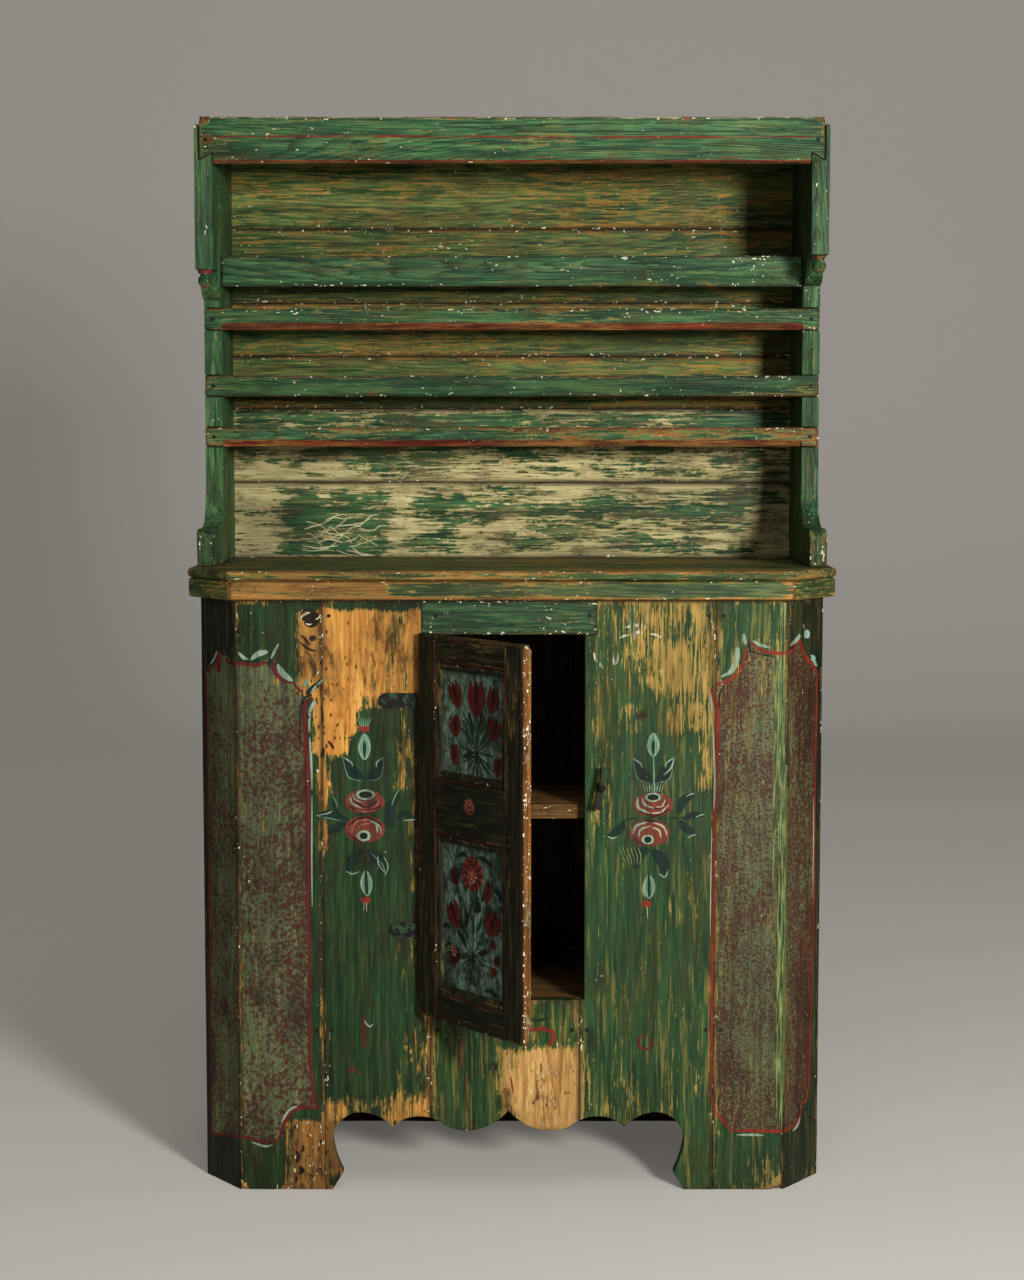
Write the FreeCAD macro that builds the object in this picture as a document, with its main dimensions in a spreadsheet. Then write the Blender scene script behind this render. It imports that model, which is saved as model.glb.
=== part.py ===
import FreeCAD, Part
import math
import os

import Sketcher

# A painted pine cupboard with canted front corners, one lipped door, and an open
# plate rack on its counter. Millimetres. +X is right, the front faces -Y, +Z is up.
# The origin is on the floor, in the middle of the back face.

document = FreeCAD.newDocument("Cupboard")
sheet = document.addObject("Spreadsheet::Sheet", "Sizes")

driving_sizes = [
    # the base
    ("base_width", 1018, "across the two sides"),
    ("base_depth", 400, "front planks to the back face"),
    ("counter_height", 1014, "floor to the top of the counter"),
    ("wall", 24, "thickness of sides, cants and front planks"),
    ("back_board", 18, "thickness of the back boards"),
    ("back_gap", 1, "seam between two back boards"),
    ("cant_width", 66, "how far a cant cuts the front"),
    ("cant_depth", 84, "how far a cant cuts the side"),
    # the counter
    ("counter_board", 16, "thickness of the counter board"),
    ("counter_rail", 32, "height of the moulded rail under it"),
    ("counter_overhang", 20, "counter past the base"),
    ("counter_setback", 1.5, "rail behind the board's edge"),
    ("board_round", 6, "rounding of the counter board's edge"),
    ("rail_round", 5, "rounding of the counter rail's edges"),
    # the front planks, measured from the middle of the front
    ("seam_left", 305, "left corner plank to inner plank"),
    ("seam_right", 327, "right inner plank to corner plank"),
    ("head_rail_height", 56, "rail over the door opening"),
    ("head_rail_let", 19, "head rail let into the right plank"),
    ("opening_left", 145.5, "left edge of the door opening"),
    ("opening_right", 117, "right edge of the door opening"),
    ("opening_bottom", 316, "floor to the opening's lower edge"),
    ("apron_short_left", 13, "left plank under the opening"),
    ("apron_short_right", 7.5, "right plank under the opening"),
    ("batten_height", 50, "battens behind the front planks"),
    ("batten_depth", 20, "thickness of those battens"),
    ("batten_end", 4, "batten end short of the cants"),
    # the sawn foot line, measured from its own middle
    ("profile_middle", 6, "middle of the foot line, left of the middle"),
    ("foot_inside", 287, "inner edge of a foot on the floor"),
    ("toe_reach", 269, "tip of the toe"),
    ("toe_height", 29, "height of the toe"),
    ("toe_curve", 150, "hollow above the toe"),
    ("arch_reach", 286, "widest part of the arch"),
    ("arch_rise", 83, "height of the widest part"),
    ("arch_curve", 46, "arch between side and top"),
    ("arch_top_reach", 240, "where the arch is highest"),
    ("arch_top", 129, "height of the arch"),
    ("cusp_reach", 189, "point between arch and second hollow"),
    ("cusp_height", 104, "height of that point"),
    ("cusp_curve", 70, "curve down to the point"),
    ("hollow_reach", 145, "top of the second hollow"),
    ("hollow_height", 122, "height of the second hollow"),
    ("hollow_curve", 60, "curve up to the second hollow"),
    ("ogee_reach", 107, "where the ogee turns over"),
    ("ogee_height", 110, "height of that turn"),
    ("ogee_curve", 66, "both curves of the ogee"),
    ("lobe_reach", 69.5, "lowest part of the lobe"),
    ("lobe_height", 98, "height of the lobe"),
    ("lobe_curve", 87, "curve from the lobe to the middle"),
    ("peak_height", 132.5, "point in the middle"),
    # inside the base
    ("floor_board", 22, "thickness of the base floor"),
    ("floor_step", 3, "floor below the opening's edge"),
    ("shelf_board", 25, "thickness of the inner shelf"),
    ("shelf_height", 633, "floor to the top of the inner shelf"),
    ("shelf_play", 2, "inner shelf short of the boards round it"),
    ("cleat", 26, "height and width of a cleat"),
    ("cleat_front", 60, "cleat end behind the cant"),
    # the plate rack, heights from the counter, depths from the back boards
    ("rack_over", 6, "rack side outside the base's side"),
    ("rack_height", 716, "counter to the top of the sides"),
    ("rack_side", 30, "thickness of a rack side"),
    ("hood_depth", 275, "depth of the hood"),
    ("rack_depth", 171, "depth of the middle part"),
    ("hood_left", 482, "underside of the left hood"),
    ("hood_right", 506, "underside of the right hood"),
    ("hood_cove", 44, "cove under the hood"),
    ("foot_depth", 297, "depth of the rack's foot"),
    ("foot_height", 40, "front edge of that foot"),
    ("foot_nose", 22, "rounded nose of the foot"),
    ("foot_scroll", 62, "scroll from the nose to the middle part"),
    ("top_rail_height", 76, "height of the top rail"),
    ("top_rail_rise", 12, "top rail above the sides"),
    ("top_rail_board", 22, "thickness of the top rail"),
    ("top_rail_lip", 8, "rounding of its lower edge"),
    ("outer_strip", 8, "side left outside the dovetail"),
    ("dovetail_waist", 18, "dovetail above the rail's edge, at the shoulder"),
    ("dovetail_end", 5, "the same at its end"),
    ("roof_board", 20, "thickness of the roof board"),
    ("roof_drop", 3, "roof board below the sides' top"),
    ("rack_board", 22, "thickness of the rack's shelves"),
    ("rack_rail", 20, "thickness of rails and plate bars"),
    ("upper_rail_low", 460.5, "lower edge of the upper shelf rail"),
    ("upper_rail_height", 52.5, "height of the upper shelf rail"),
    ("upper_shelf_lip", 16, "rail above the upper shelf"),
    ("lower_rail_low", 278, "lower edge of the lower shelf rail"),
    ("lower_rail_height", 36.5, "height of the lower shelf rail"),
    ("lower_shelf_lip", 7, "rail above the lower shelf"),
    ("upper_bar_low", 389, "lower edge of the upper plate bar"),
    ("upper_bar_height", 37, "height of the upper plate bar"),
    ("lower_bar_low", 194.5, "lower edge of the lower plate bar"),
    ("lower_bar_height", 33.5, "height of the lower plate bar"),
    ("bar_chamfer", 12, "height of the stopped chamfer"),
    ("chamfer_depth", 7, "depth of the stopped chamfer"),
    ("rack_seam_1", 132, "back board seams above the counter"),
    ("rack_seam_2", 260, ""),
    ("rack_seam_3", 351, ""),
    ("rack_seam_4", 443, ""),
    ("rack_seam_5", 570.5, ""),
    ("drop_ball", 12, "radius of the turned drop under a hood"),
    ("drop_collar", 5, "height of its collar"),
    ("drop_inset", 15, "drop behind the hood's front"),
    # the door, closed sizes
    ("lip", 14, "thickness of the door's front layer"),
    ("lip_gap", 0.5, "lip off the planks when closed"),
    ("lip_side", 7.5, "lip past the opening's right edge"),
    ("lip_top", 5, "lip over the opening's upper edge"),
    ("lip_bottom", 19, "lip under the opening's lower edge"),
    ("rebate", 12, "part of the door inside the opening"),
    ("door_play", 3, "door to opening, all round"),
    ("hinge_play", 2, "door to opening at the hinges"),
    ("stile", 46, "width of a stile"),
    ("top_rail_of_door", 44, "width of the door's top rail"),
    ("lock_rail", 92, "width of the lock rail"),
    ("bottom_rail", 47, "width of the bottom rail"),
    ("upper_panel_height", 182, "between top rail and lock rail"),
    ("groove", 9, "depth of the panel grooves"),
    ("panel_board", 8, "thickness of a panel"),
    ("panel_set", 9, "panel behind the door's face"),
    ("panel_play", 1, "panel short of the groove"),
    ("moulding_width", 11, "moulding on the panel"),
    ("moulding_height", 7.5, "moulding above the panel"),
    ("moulding_curve", 6, "rounding of the moulding"),
    ("door_open", 51.5, "degrees the door stands open"),
    # the hinges
    ("hinge_from_top", 110, "door's top to the middle of the upper hinge"),
    ("hinge_from_foot", 135, "door's foot to the middle of the lower hinge"),
    ("hinge_height", 24, "height of a hinge"),
    ("hinge_out", 8, "pin in front of the planks"),
    ("knuckle", 4.5, "radius of a knuckle"),
    ("hinge_clear", 0.3, "knuckle to the door's edge"),
    ("knuckle_gap", 0.15, "between two knuckles"),
    ("pin", 2, "radius of a hinge pin"),
    ("pin_clear", 0.05, "pin to the door's knuckle"),
    ("pin_seat", 0.02, "pin to the fixed knuckles"),
    ("pin_head", 3.4, "radius of the pin's head"),
    ("pin_head_height", 1.8, "height of the pin's head"),
    ("strap", 2.5, "thickness of a strap"),
    ("strap_upper", 66, "upper strap from the pin"),
    ("strap_lower", 50, "lower strap from the pin"),
    ("leaf", 2, "thickness of the leaf in the door's edge"),
    ("leaf_depth", 11.5, "depth of that leaf"),
    # the turn button
    ("button_beyond", 18.5, "nail past the door's edge"),
    ("button_drop", 245, "nail below the opening's top"),
    ("button_length", 70, "end to end"),
    ("button_end", 15, "width of an end"),
    ("button_waist", 9, "width at the nail"),
    ("button_board", 9, "thickness of the button"),
    ("button_tilt", 12, "degrees it leans at rest"),
    ("button_clear", 0.3, "button to its spacer and to the nail's head"),
    ("button_over", 1, "button in front of the closed door"),
    ("spacer", 8, "radius of the spacer"),
    ("nail", 2, "radius of the button's nail"),
    ("nail_clear", 0.06, "nail to the button"),
    ("nail_head", 6, "radius of that nail's head"),
    ("nail_dome", 3, "height of that nail's head"),
    # nail heads
    ("tack", 3, "radius of a nail head"),
    ("tack_height", 1, "height of a nail head"),
    ("tack_edge", 12, "nail from a board's edge"),
    ("tack_pin", 18, "nail of a strap from its pin"),
]

# cutting outlines run this far past the faces they cut
past_face = 1
# the neck of a turned drop meets the ball this share of its radius from the middle,
# across and up
neck_across = 0.6
neck_up = 0.8


class Size:
    # a measure kept twice: as the sheet's own formula, in which @ stands before every
    # name, and as the number which that formula gives now
    def __init__(self, formula, value):
        self.formula = formula
        self.value = value

    def __add__(self, other):
        return worked_out(self, "+", other)

    def __sub__(self, other):
        return worked_out(self, "-", other)

    def __mul__(self, other):
        return worked_out(self, "*", other)

    def __truediv__(self, other):
        return worked_out(self, "/", other)

    def __radd__(self, other):
        return worked_out(other, "+", self)

    def __rsub__(self, other):
        return worked_out(other, "-", self)

    def __neg__(self):
        return worked_out(-1, "*", self)


def measure(term):
    if isinstance(term, Size):
        return term
    return Size(f"({term})", float(term))


def worked_out(left, sign, right):
    left = measure(left)
    right = measure(right)
    value = {
        "+": lambda: left.value + right.value,
        "-": lambda: left.value - right.value,
        "*": lambda: left.value * right.value,
        "/": lambda: left.value / right.value,
    }[sign]()
    return Size(f"({left.formula} {sign} {right.formula})", value)


def root_of_squares(left, right):
    formula = f"sqrt({left.formula} ^ 2 + {right.formula} ^ 2)"
    return Size(formula, math.hypot(left.value, right.value))


class Sizes:
    pass


sizes = Sizes()
sheet_row = 0


def write_row(name, content, value, note):
    global sheet_row
    sheet_row += 1
    sheet.set(f"A{sheet_row}", name)
    sheet.set(f"B{sheet_row}", content)
    sheet.setAlias(f"B{sheet_row}", name)
    sheet.set(f"C{sheet_row}", note)
    setattr(sizes, name, Size(f"@{name}", value))


def derive(name, size, note):
    write_row(name, "=" + size.formula.replace("@", ""), size.value, note)


for name, number, note in driving_sizes:
    write_row(name, str(number), float(number), note)

derive("front_height", sizes.counter_height - sizes.counter_board - sizes.counter_rail,
       "height of the base's boards")
derive("half_base", sizes.base_width / 2, "middle to a side's face")
derive("half_rack", sizes.half_base + sizes.rack_over, "middle to a rack side's face")
derive("rack_inside", sizes.half_rack - sizes.rack_side, "middle to a rack side's inner face")
derive("cant_length", root_of_squares(sizes.cant_width, sizes.cant_depth), "width of a cant")
derive("opening_top", sizes.front_height - sizes.head_rail_height, "top of the door opening")
derive("floor_top", sizes.opening_bottom - sizes.floor_step, "top of the base floor")
derive("head_rail_right", sizes.opening_right + sizes.head_rail_let, "head rail's right end")
derive("apron_left", sizes.opening_left - sizes.apron_short_left, "apron plank's left end")
derive("apron_right", sizes.opening_right - sizes.apron_short_right, "its right end")
derive("hinge_side", sizes.knuckle + sizes.hinge_clear, "pin to the door's edge")
derive("hinge_across", sizes.opening_left - sizes.hinge_play + sizes.hinge_side,
       "hinge pin left of the middle")
derive("door_width",
       sizes.opening_left - sizes.hinge_play + sizes.opening_right + sizes.lip_side,
       "front of the door, side to side")
derive("door_low", sizes.opening_bottom - sizes.lip_bottom, "floor to the door")
derive("door_height", sizes.opening_top + sizes.lip_top - sizes.door_low, "height of the door")
derive("door_face", sizes.lip + sizes.lip_gap - sizes.hinge_out, "door's face before the pin")
derive("door_step", sizes.hinge_out - sizes.lip_gap, "back of the lip behind the pin")
derive("door_back", sizes.door_step + sizes.rebate, "door's back behind the pin")
derive("rebate_top", sizes.lip_top + sizes.door_play, "rebate along the door's top")
derive("rebate_bottom", sizes.lip_bottom + sizes.door_play, "rebate along its bottom")
derive("rebate_side", sizes.lip_side + sizes.door_play, "rebate along its free side")
derive("hinge_upper", sizes.door_low + sizes.door_height - sizes.hinge_from_top,
       "floor to the middle of the upper hinge")
derive("hinge_lower", sizes.door_low + sizes.hinge_from_foot,
       "floor to the middle of the lower hinge")
derive("button_across", sizes.opening_right + sizes.lip_side + sizes.button_beyond,
       "turn button's nail from the middle")
derive("button_height", sizes.opening_top - sizes.button_drop, "floor to that nail")
derive("panel_face", sizes.panel_set - sizes.door_face, "panel's face behind the pin")
derive("panel_back", sizes.panel_face + sizes.panel_board, "panel's back behind the pin")
derive("lock_rail_low",
       sizes.door_height - sizes.top_rail_of_door - sizes.upper_panel_height - sizes.lock_rail,
       "lower edge of the lock rail")
derive("spacer_length", sizes.lip + sizes.lip_gap + sizes.button_over - sizes.button_clear,
       "length of the turn button's spacer")


def bind(thing, values):
    for property_name, size in values.items():
        thing.setExpression(property_name, measure(size).formula.replace("@", "Sizes."))


def place(thing, x=0, y=0, z=0):
    bind(thing, {"Placement.Base.x": x, "Placement.Base.y": y, "Placement.Base.z": z})


def place_on_door(thing):
    # door pieces are drawn on the closed door, from the foot of the hinge pins' axis
    thing.Placement.Rotation = FreeCAD.Rotation(FreeCAD.Vector(0, 0, 1), -1)
    place(thing, -sizes.hinge_across, -(sizes.base_depth + sizes.hinge_out), sizes.door_low)
    thing.setExpression("Placement.Rotation.Angle", "(-1) * Sizes.door_open * 1 deg")


def board(name, x, y, z):
    # a plain board between two faces each way
    box = document.addObject("Part::Box", name)
    bind(box, {"Length": x[1] - x[0], "Width": y[1] - y[0], "Height": z[1] - z[0]})
    place(box, x[0], y[0], z[0])
    return box


def rod(name, radius, length, x=0, y=0, z=0):
    # a round rod standing on the point given
    cylinder = document.addObject("Part::Cylinder", name)
    bind(cylinder, {"Radius": radius, "Height": length})
    place(cylinder, x, y, z)
    return cylinder


def group(name, members):
    # loose pieces of one kind kept as one sub-part of several solids
    compound = document.addObject("Part::Compound", name)
    compound.Links = members
    return compound


def fuse(name, members):
    joined = document.addObject("Part::MultiFuse", name)
    joined.Shapes = members
    return joined


def cut(name, whole, tool):
    rest = document.addObject("Part::Cut", name)
    rest.Base = whole
    rest.Tool = tool
    return rest


def new_body(name):
    return document.addObject("PartDesign::Body", name)


def origin_plane(body, role):
    return next(feature for feature in body.Origin.OriginFeatures if feature.Role == role)


def arc_between(start, end, radius):
    # the shorter arc; its centre is left of the way for a positive radius
    way = end - start
    sideways = FreeCAD.Vector(-way.y, way.x, 0).normalize()
    reach = math.sqrt(max(radius ** 2 - (way.Length / 2) ** 2, 0.0))
    centre = (start + end) / 2 + sideways * math.copysign(reach, radius)
    circle = Part.Circle(centre, FreeCAD.Vector(0, 0, 1), abs(radius))
    from_point, to_point = (start, end) if radius > 0 else (end, start)
    return Part.ArcOfCircle(circle, circle.parameter(from_point), circle.parameter(to_point))


def outline(body, name, role, corners, height=None):
    # a closed sketch on one of the body's planes; a corner is (x, y), or (x, y, radius)
    # when the way to it is an arc; height lifts the sketch off the plane
    sketch = body.newObject("Sketcher::SketchObject", name)
    sketch.AttachmentSupport = [(origin_plane(body, role), "")]
    sketch.MapMode = "FlatFace"
    if height is not None:
        bind(sketch, {"AttachmentOffset.Base.z": height})
    corners = [tuple(measure(number) for number in corner) for corner in corners]
    points = [FreeCAD.Vector(corner[0].value, corner[1].value, 0) for corner in corners]
    begin_and_end = []
    for index, corner in enumerate(corners):
        start = points[index - 1]
        if len(corner) == 2:
            sketch.addGeometry(Part.LineSegment(start, points[index]), False)
            begin_and_end.append((1, 2))
        else:
            sketch.addGeometry(arc_between(start, points[index], corner[2].value), False)
            begin_and_end.append((1, 2) if corner[2].value > 0 else (2, 1))
    for index, corner in enumerate(corners):
        after = (index + 1) % len(corners)
        end = begin_and_end[index][1]
        begin = begin_and_end[after][0]
        sketch.addConstraint(Sketcher.Constraint("Coincident", index, end, after, begin))
        for kind, size in (("DistanceX", corner[0]), ("DistanceY", corner[1])):
            number = sketch.addConstraint(
                Sketcher.Constraint(kind, -1, 1, index, end, size.value))
            bind(sketch, {f"Constraints[{number}]": size})
        if len(corner) == 3:
            radius = corner[2] if corner[2].value > 0 else -corner[2]
            number = sketch.addConstraint(Sketcher.Constraint("Radius", index, radius.value))
            bind(sketch, {f"Constraints[{number}]": radius})
    return sketch


def ring_sketch(body, name, role, radius):
    # a circle round the middle of one of the body's planes
    sketch = body.newObject("Sketcher::SketchObject", name)
    sketch.AttachmentSupport = [(origin_plane(body, role), "")]
    sketch.MapMode = "FlatFace"
    middle = FreeCAD.Vector(0, 0, 0)
    sketch.addGeometry(Part.Circle(middle, FreeCAD.Vector(0, 0, 1), radius.value), False)
    sketch.addConstraint(Sketcher.Constraint("Coincident", 0, 3, -1, 1))
    number = sketch.addConstraint(Sketcher.Constraint("Radius", 0, radius.value))
    bind(sketch, {f"Constraints[{number}]": radius})
    return sketch


def pad(body, sketch, length, backwards=False):
    feature = body.newObject("PartDesign::Pad", f"{sketch.Name}_pad")
    feature.Profile = sketch
    feature.Reversed = backwards
    bind(feature, {"Length": length})
    sketch.Visibility = False
    return feature


def pocket(body, sketch, depth, backwards=False):
    document.recompute()
    before = body.Shape.Volume
    feature = body.newObject("PartDesign::Pocket", f"{sketch.Name}_pocket")
    feature.Profile = sketch
    feature.Reversed = backwards
    bind(feature, {"Length": depth})
    document.recompute()
    if body.Shape.Volume > before - 1:
        raise RuntimeError(f"{feature.Name} cuts nothing")
    return feature


def fillet(body, name, radius, wanted):
    # rounds the edges of the body's last feature that wanted() picks by their ends
    document.recompute()
    tip = body.Tip
    edges = [
        f"Edge{number}"
        for number, edge in enumerate(tip.Shape.Edges, 1)
        if wanted([vertex.Point for vertex in edge.Vertexes])
    ]
    feature = body.newObject("PartDesign::Fillet", name)
    feature.Base = (tip, edges)
    bind(feature, {"Radius": radius})
    return feature


def near(number, size):
    return abs(number - measure(size).value) < 0.01


def side_of(name):
    return -1 if name == "left" else 1


def plan_corners(side, inwards):
    # the two corners of a cant in plan, on a line that runs inside the base's outline
    # by the distance given: first the one at the side, then the one at the front
    at_side = (
        (sizes.half_base - inwards) * side,
        -(sizes.base_depth - sizes.cant_depth)
        + inwards * sizes.cant_width / (sizes.cant_length + sizes.cant_depth),
    )
    at_front = (
        (sizes.half_base - sizes.cant_width
         - inwards * sizes.cant_depth / (sizes.cant_length + sizes.cant_width)) * side,
        inwards - sizes.base_depth,
    )
    return at_side, at_front


def plan_outline(inwards, back):
    # the whole plan from the back's left corner round the front to its right corner
    left_side, left_front = plan_corners(-1, inwards)
    right_side, right_front = plan_corners(1, inwards)
    return [(left_side[0], back), left_side, left_front,
            right_front, right_side, (right_side[0], back)]


def base_side(side):
    body = new_body(f"base_side_{side}")
    outer = plan_corners(side_of(side), measure(0))[0]
    inner = plan_corners(side_of(side), sizes.wall)[0]
    back = -sizes.back_board
    plan = outline(body, f"{body.Name}_plan", "XY_Plane",
                   [outer, inner, (inner[0], back), (outer[0], back)])
    pad(body, plan, sizes.front_height)
    return body


def cant_board(side):
    body = new_body(f"cant_board_{side}")
    outer = plan_corners(side_of(side), measure(0))
    inner = plan_corners(side_of(side), sizes.wall)
    plan = outline(body, f"{body.Name}_plan", "XY_Plane",
                   [outer[0], outer[1], inner[1], inner[0]])
    pad(body, plan, sizes.front_height)
    return body


def front_corner_plank(side, seam):
    body = new_body(f"front_corner_plank_{side}")
    outer = plan_corners(side_of(side), measure(0))[1]
    inner = plan_corners(side_of(side), sizes.wall)[1]
    seam_x = seam * side_of(side)
    plan = outline(body, f"{body.Name}_plan", "XY_Plane",
                   [outer, inner, (seam_x, inner[1]), (seam_x, outer[1])])
    pad(body, plan, sizes.front_height)
    return body


def foot_line(body):
    # the scalloped line sawn through the planks, as the outline of what is sawn away
    bend = [
        (sizes.toe_reach, sizes.toe_height, None),
        (sizes.arch_reach, sizes.arch_rise, -sizes.toe_curve),
        (sizes.arch_top_reach, sizes.arch_top, -sizes.arch_curve),
        (sizes.cusp_reach, sizes.cusp_height, -sizes.cusp_curve),
        (sizes.hollow_reach, sizes.hollow_height, -sizes.hollow_curve),
        (sizes.ogee_reach, sizes.ogee_height, -sizes.ogee_curve),
        (sizes.lobe_reach, sizes.lobe_height, sizes.ogee_curve),
        (measure(0), sizes.peak_height, sizes.lobe_curve),
    ]
    middle = -sizes.profile_middle
    below = -sizes.toe_height
    corners = [(middle + sizes.foot_inside, below),
               (middle - sizes.foot_inside, below),
               (middle - sizes.foot_inside, 0)]
    for reach, height, curve in bend:
        corners.append((middle - reach, height) + ((curve,) if curve else ()))
    # the right half comes back over the same bends, each arc before its own corner
    for index in range(len(bend) - 2, -1, -1):
        reach, height, _ = bend[index]
        curve = bend[index + 1][2]
        corners.append((middle + reach, height, curve))
    corners.append((middle + sizes.foot_inside, 0))
    return outline(body, f"{body.Name}_foot_line", "XZ_Plane", corners)


def sawn_plank(name, corners):
    # a front plank from its outline seen from the front, with the foot line sawn in
    body = new_body(name)
    pad(body, outline(body, f"{name}_front", "XZ_Plane", corners), sizes.wall, True)
    pocket(body, foot_line(body), sizes.wall)
    place(body, y=-sizes.base_depth)
    return body


def front_planks():
    left = sawn_plank("front_plank_left", [
        (-sizes.seam_left, 0), (-sizes.apron_left, 0),
        (-sizes.apron_left, sizes.opening_bottom),
        (-sizes.opening_left, sizes.opening_bottom),
        (-sizes.opening_left, sizes.front_height),
        (-sizes.seam_left, sizes.front_height)])
    right = sawn_plank("front_plank_right", [
        (sizes.apron_right, 0), (sizes.seam_right, 0),
        (sizes.seam_right, sizes.front_height),
        (sizes.head_rail_right, sizes.front_height),
        (sizes.head_rail_right, sizes.opening_top),
        (sizes.opening_right, sizes.opening_top),
        (sizes.opening_right, sizes.opening_bottom),
        (sizes.apron_right, sizes.opening_bottom)])
    apron = sawn_plank("apron_plank", [
        (-sizes.apron_left, 0), (sizes.apron_right, 0),
        (sizes.apron_right, sizes.opening_bottom),
        (-sizes.apron_left, sizes.opening_bottom)])
    head = board("head_rail",
                 (-sizes.opening_left, sizes.head_rail_right),
                 (-sizes.base_depth, sizes.wall - sizes.base_depth),
                 (sizes.opening_top, sizes.front_height))
    return [left, right, apron, head]


def front_battens():
    # one behind the head rail and one under the floor, across all the front planks
    reach = -plan_corners(-1, sizes.wall)[1][0] - sizes.batten_end
    behind = sizes.wall - sizes.base_depth
    floor_low = sizes.floor_top - sizes.floor_board
    battens = [
        board(f"front_batten_{where}", (-reach, reach), (behind, behind + sizes.batten_depth),
              (top - sizes.batten_height, top))
        for where, top in (("top", sizes.front_height), ("bottom", floor_low))
    ]
    return group("front_battens", battens)


def cleats(name, top):
    # a pair of cleats nailed to the base's sides
    inside = sizes.half_base - sizes.wall
    front = plan_corners(1, sizes.wall)[0][1] + sizes.cleat_front
    pair = [
        board(f"{name}_{side}", across, (front, -sizes.back_board), (top - sizes.cleat, top))
        for side, across in (("left", (-inside, sizes.cleat - inside)),
                             ("right", (inside - sizes.cleat, inside)))
    ]
    return group(name, pair)


def plan_board(name, inwards, back, thickness, low):
    # a level board that follows the base's plan
    body = new_body(name)
    pad(body, outline(body, f"{name}_plan", "XY_Plane", plan_outline(inwards, back)), thickness)
    place(body, z=low)
    return body


def base_inside():
    floor = plan_board("base_floor", sizes.wall, -sizes.back_board, sizes.floor_board,
                       sizes.floor_top - sizes.floor_board)
    shelf = plan_board("inner_shelf", sizes.wall + sizes.shelf_play,
                       -(sizes.back_board + sizes.shelf_play), sizes.shelf_board,
                       sizes.shelf_height - sizes.shelf_board)
    return [
        floor, shelf, front_battens(),
        cleats("floor_cleats", sizes.floor_top - sizes.floor_board),
        cleats("shelf_cleats", sizes.shelf_height - sizes.shelf_board),
    ]


def base_back_boards(count):
    # upright boards nailed to the back edges of the sides, from the floor up
    width = sizes.base_width / count
    boards = []
    for index in range(count):
        low = width * index - sizes.half_base
        high = low + width
        if index < count - 1:
            high = high - sizes.back_gap
        boards.append(board(f"base_back_board_{index + 1}", (low, high),
                            (-sizes.back_board, 0),
                            (0, sizes.counter_height - sizes.counter_board)))
    return boards


def counter_top():
    body = plan_board("counter_top", -sizes.counter_overhang, 0, sizes.counter_board,
                      sizes.counter_height - sizes.counter_board)

    def moulded(ends):
        level = near(ends[0].z, ends[-1].z)
        at_back = near(ends[0].y, 0) and near(ends[-1].y, 0)
        return level and not at_back

    fillet(body, "counter_top_rounding", sizes.board_round, moulded)
    return body


def counter_rail(name, corners, on_face):
    # one length of the moulded rail, mitred in plan; its outer face's level edges are round
    body = new_body(name)
    pad(body, outline(body, f"{name}_plan", "XY_Plane", corners), sizes.counter_rail)
    fillet(body, f"{name}_rounding", sizes.rail_round,
           lambda ends: near(ends[0].z, ends[-1].z) and all(on_face(end) for end in ends))
    place(body, z=sizes.front_height)
    return body


def counter_rails():
    outwards = sizes.counter_setback - sizes.counter_overhang
    rails = []
    fronts = {}
    for name in ("left", "right"):
        side = side_of(name)
        outer = plan_corners(side, outwards)
        inner = plan_corners(side, sizes.wall)
        fronts[name] = (outer[1], inner[1])
        back = -sizes.back_board
        outer_x = outer[0][0]
        rails.append(counter_rail(
            f"counter_rail_side_{name}",
            [outer[0], inner[0], (inner[0][0], back), (outer_x, back)],
            lambda end, face=outer_x: near(end.x, face)))
        rails.append(counter_rail(
            f"counter_rail_cant_{name}",
            [outer[0], outer[1], inner[1], inner[0]],
            lambda end, face=outer: any(
                near(end.x, corner[0]) and near(end.y, corner[1]) for corner in face)))
    front_y = fronts["left"][0][1]
    rails.append(counter_rail(
        "counter_rail_front",
        [fronts["left"][0], fronts["right"][0], fronts["right"][1], fronts["left"][1]],
        lambda end: near(end.y, front_y)))
    return rails


def notch(body, name, low, high, side):
    # a rail's end let into the front edge of a rack side, right through its thickness
    front = -(sizes.back_board + sizes.rack_depth)
    corners = [(front - past_face, low), (front + sizes.rack_rail, low),
               (front + sizes.rack_rail, high), (front - past_face, high)]
    pocket(body, outline(body, name, "YZ_Plane", corners), sizes.rack_side, side > 0)


def dovetail_corners(side, beyond=0):
    # the half dovetail at one end of the top rail, seen from the front
    low = sizes.rack_height + sizes.top_rail_rise - sizes.top_rail_height
    top = sizes.rack_height + sizes.top_rail_rise + beyond
    shoulder = sizes.rack_inside * side
    end = (sizes.half_rack - sizes.outer_strip) * side
    return [(shoulder, top), (shoulder, low + sizes.dovetail_waist),
            (end, low + sizes.dovetail_end), (end, top)]


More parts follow.
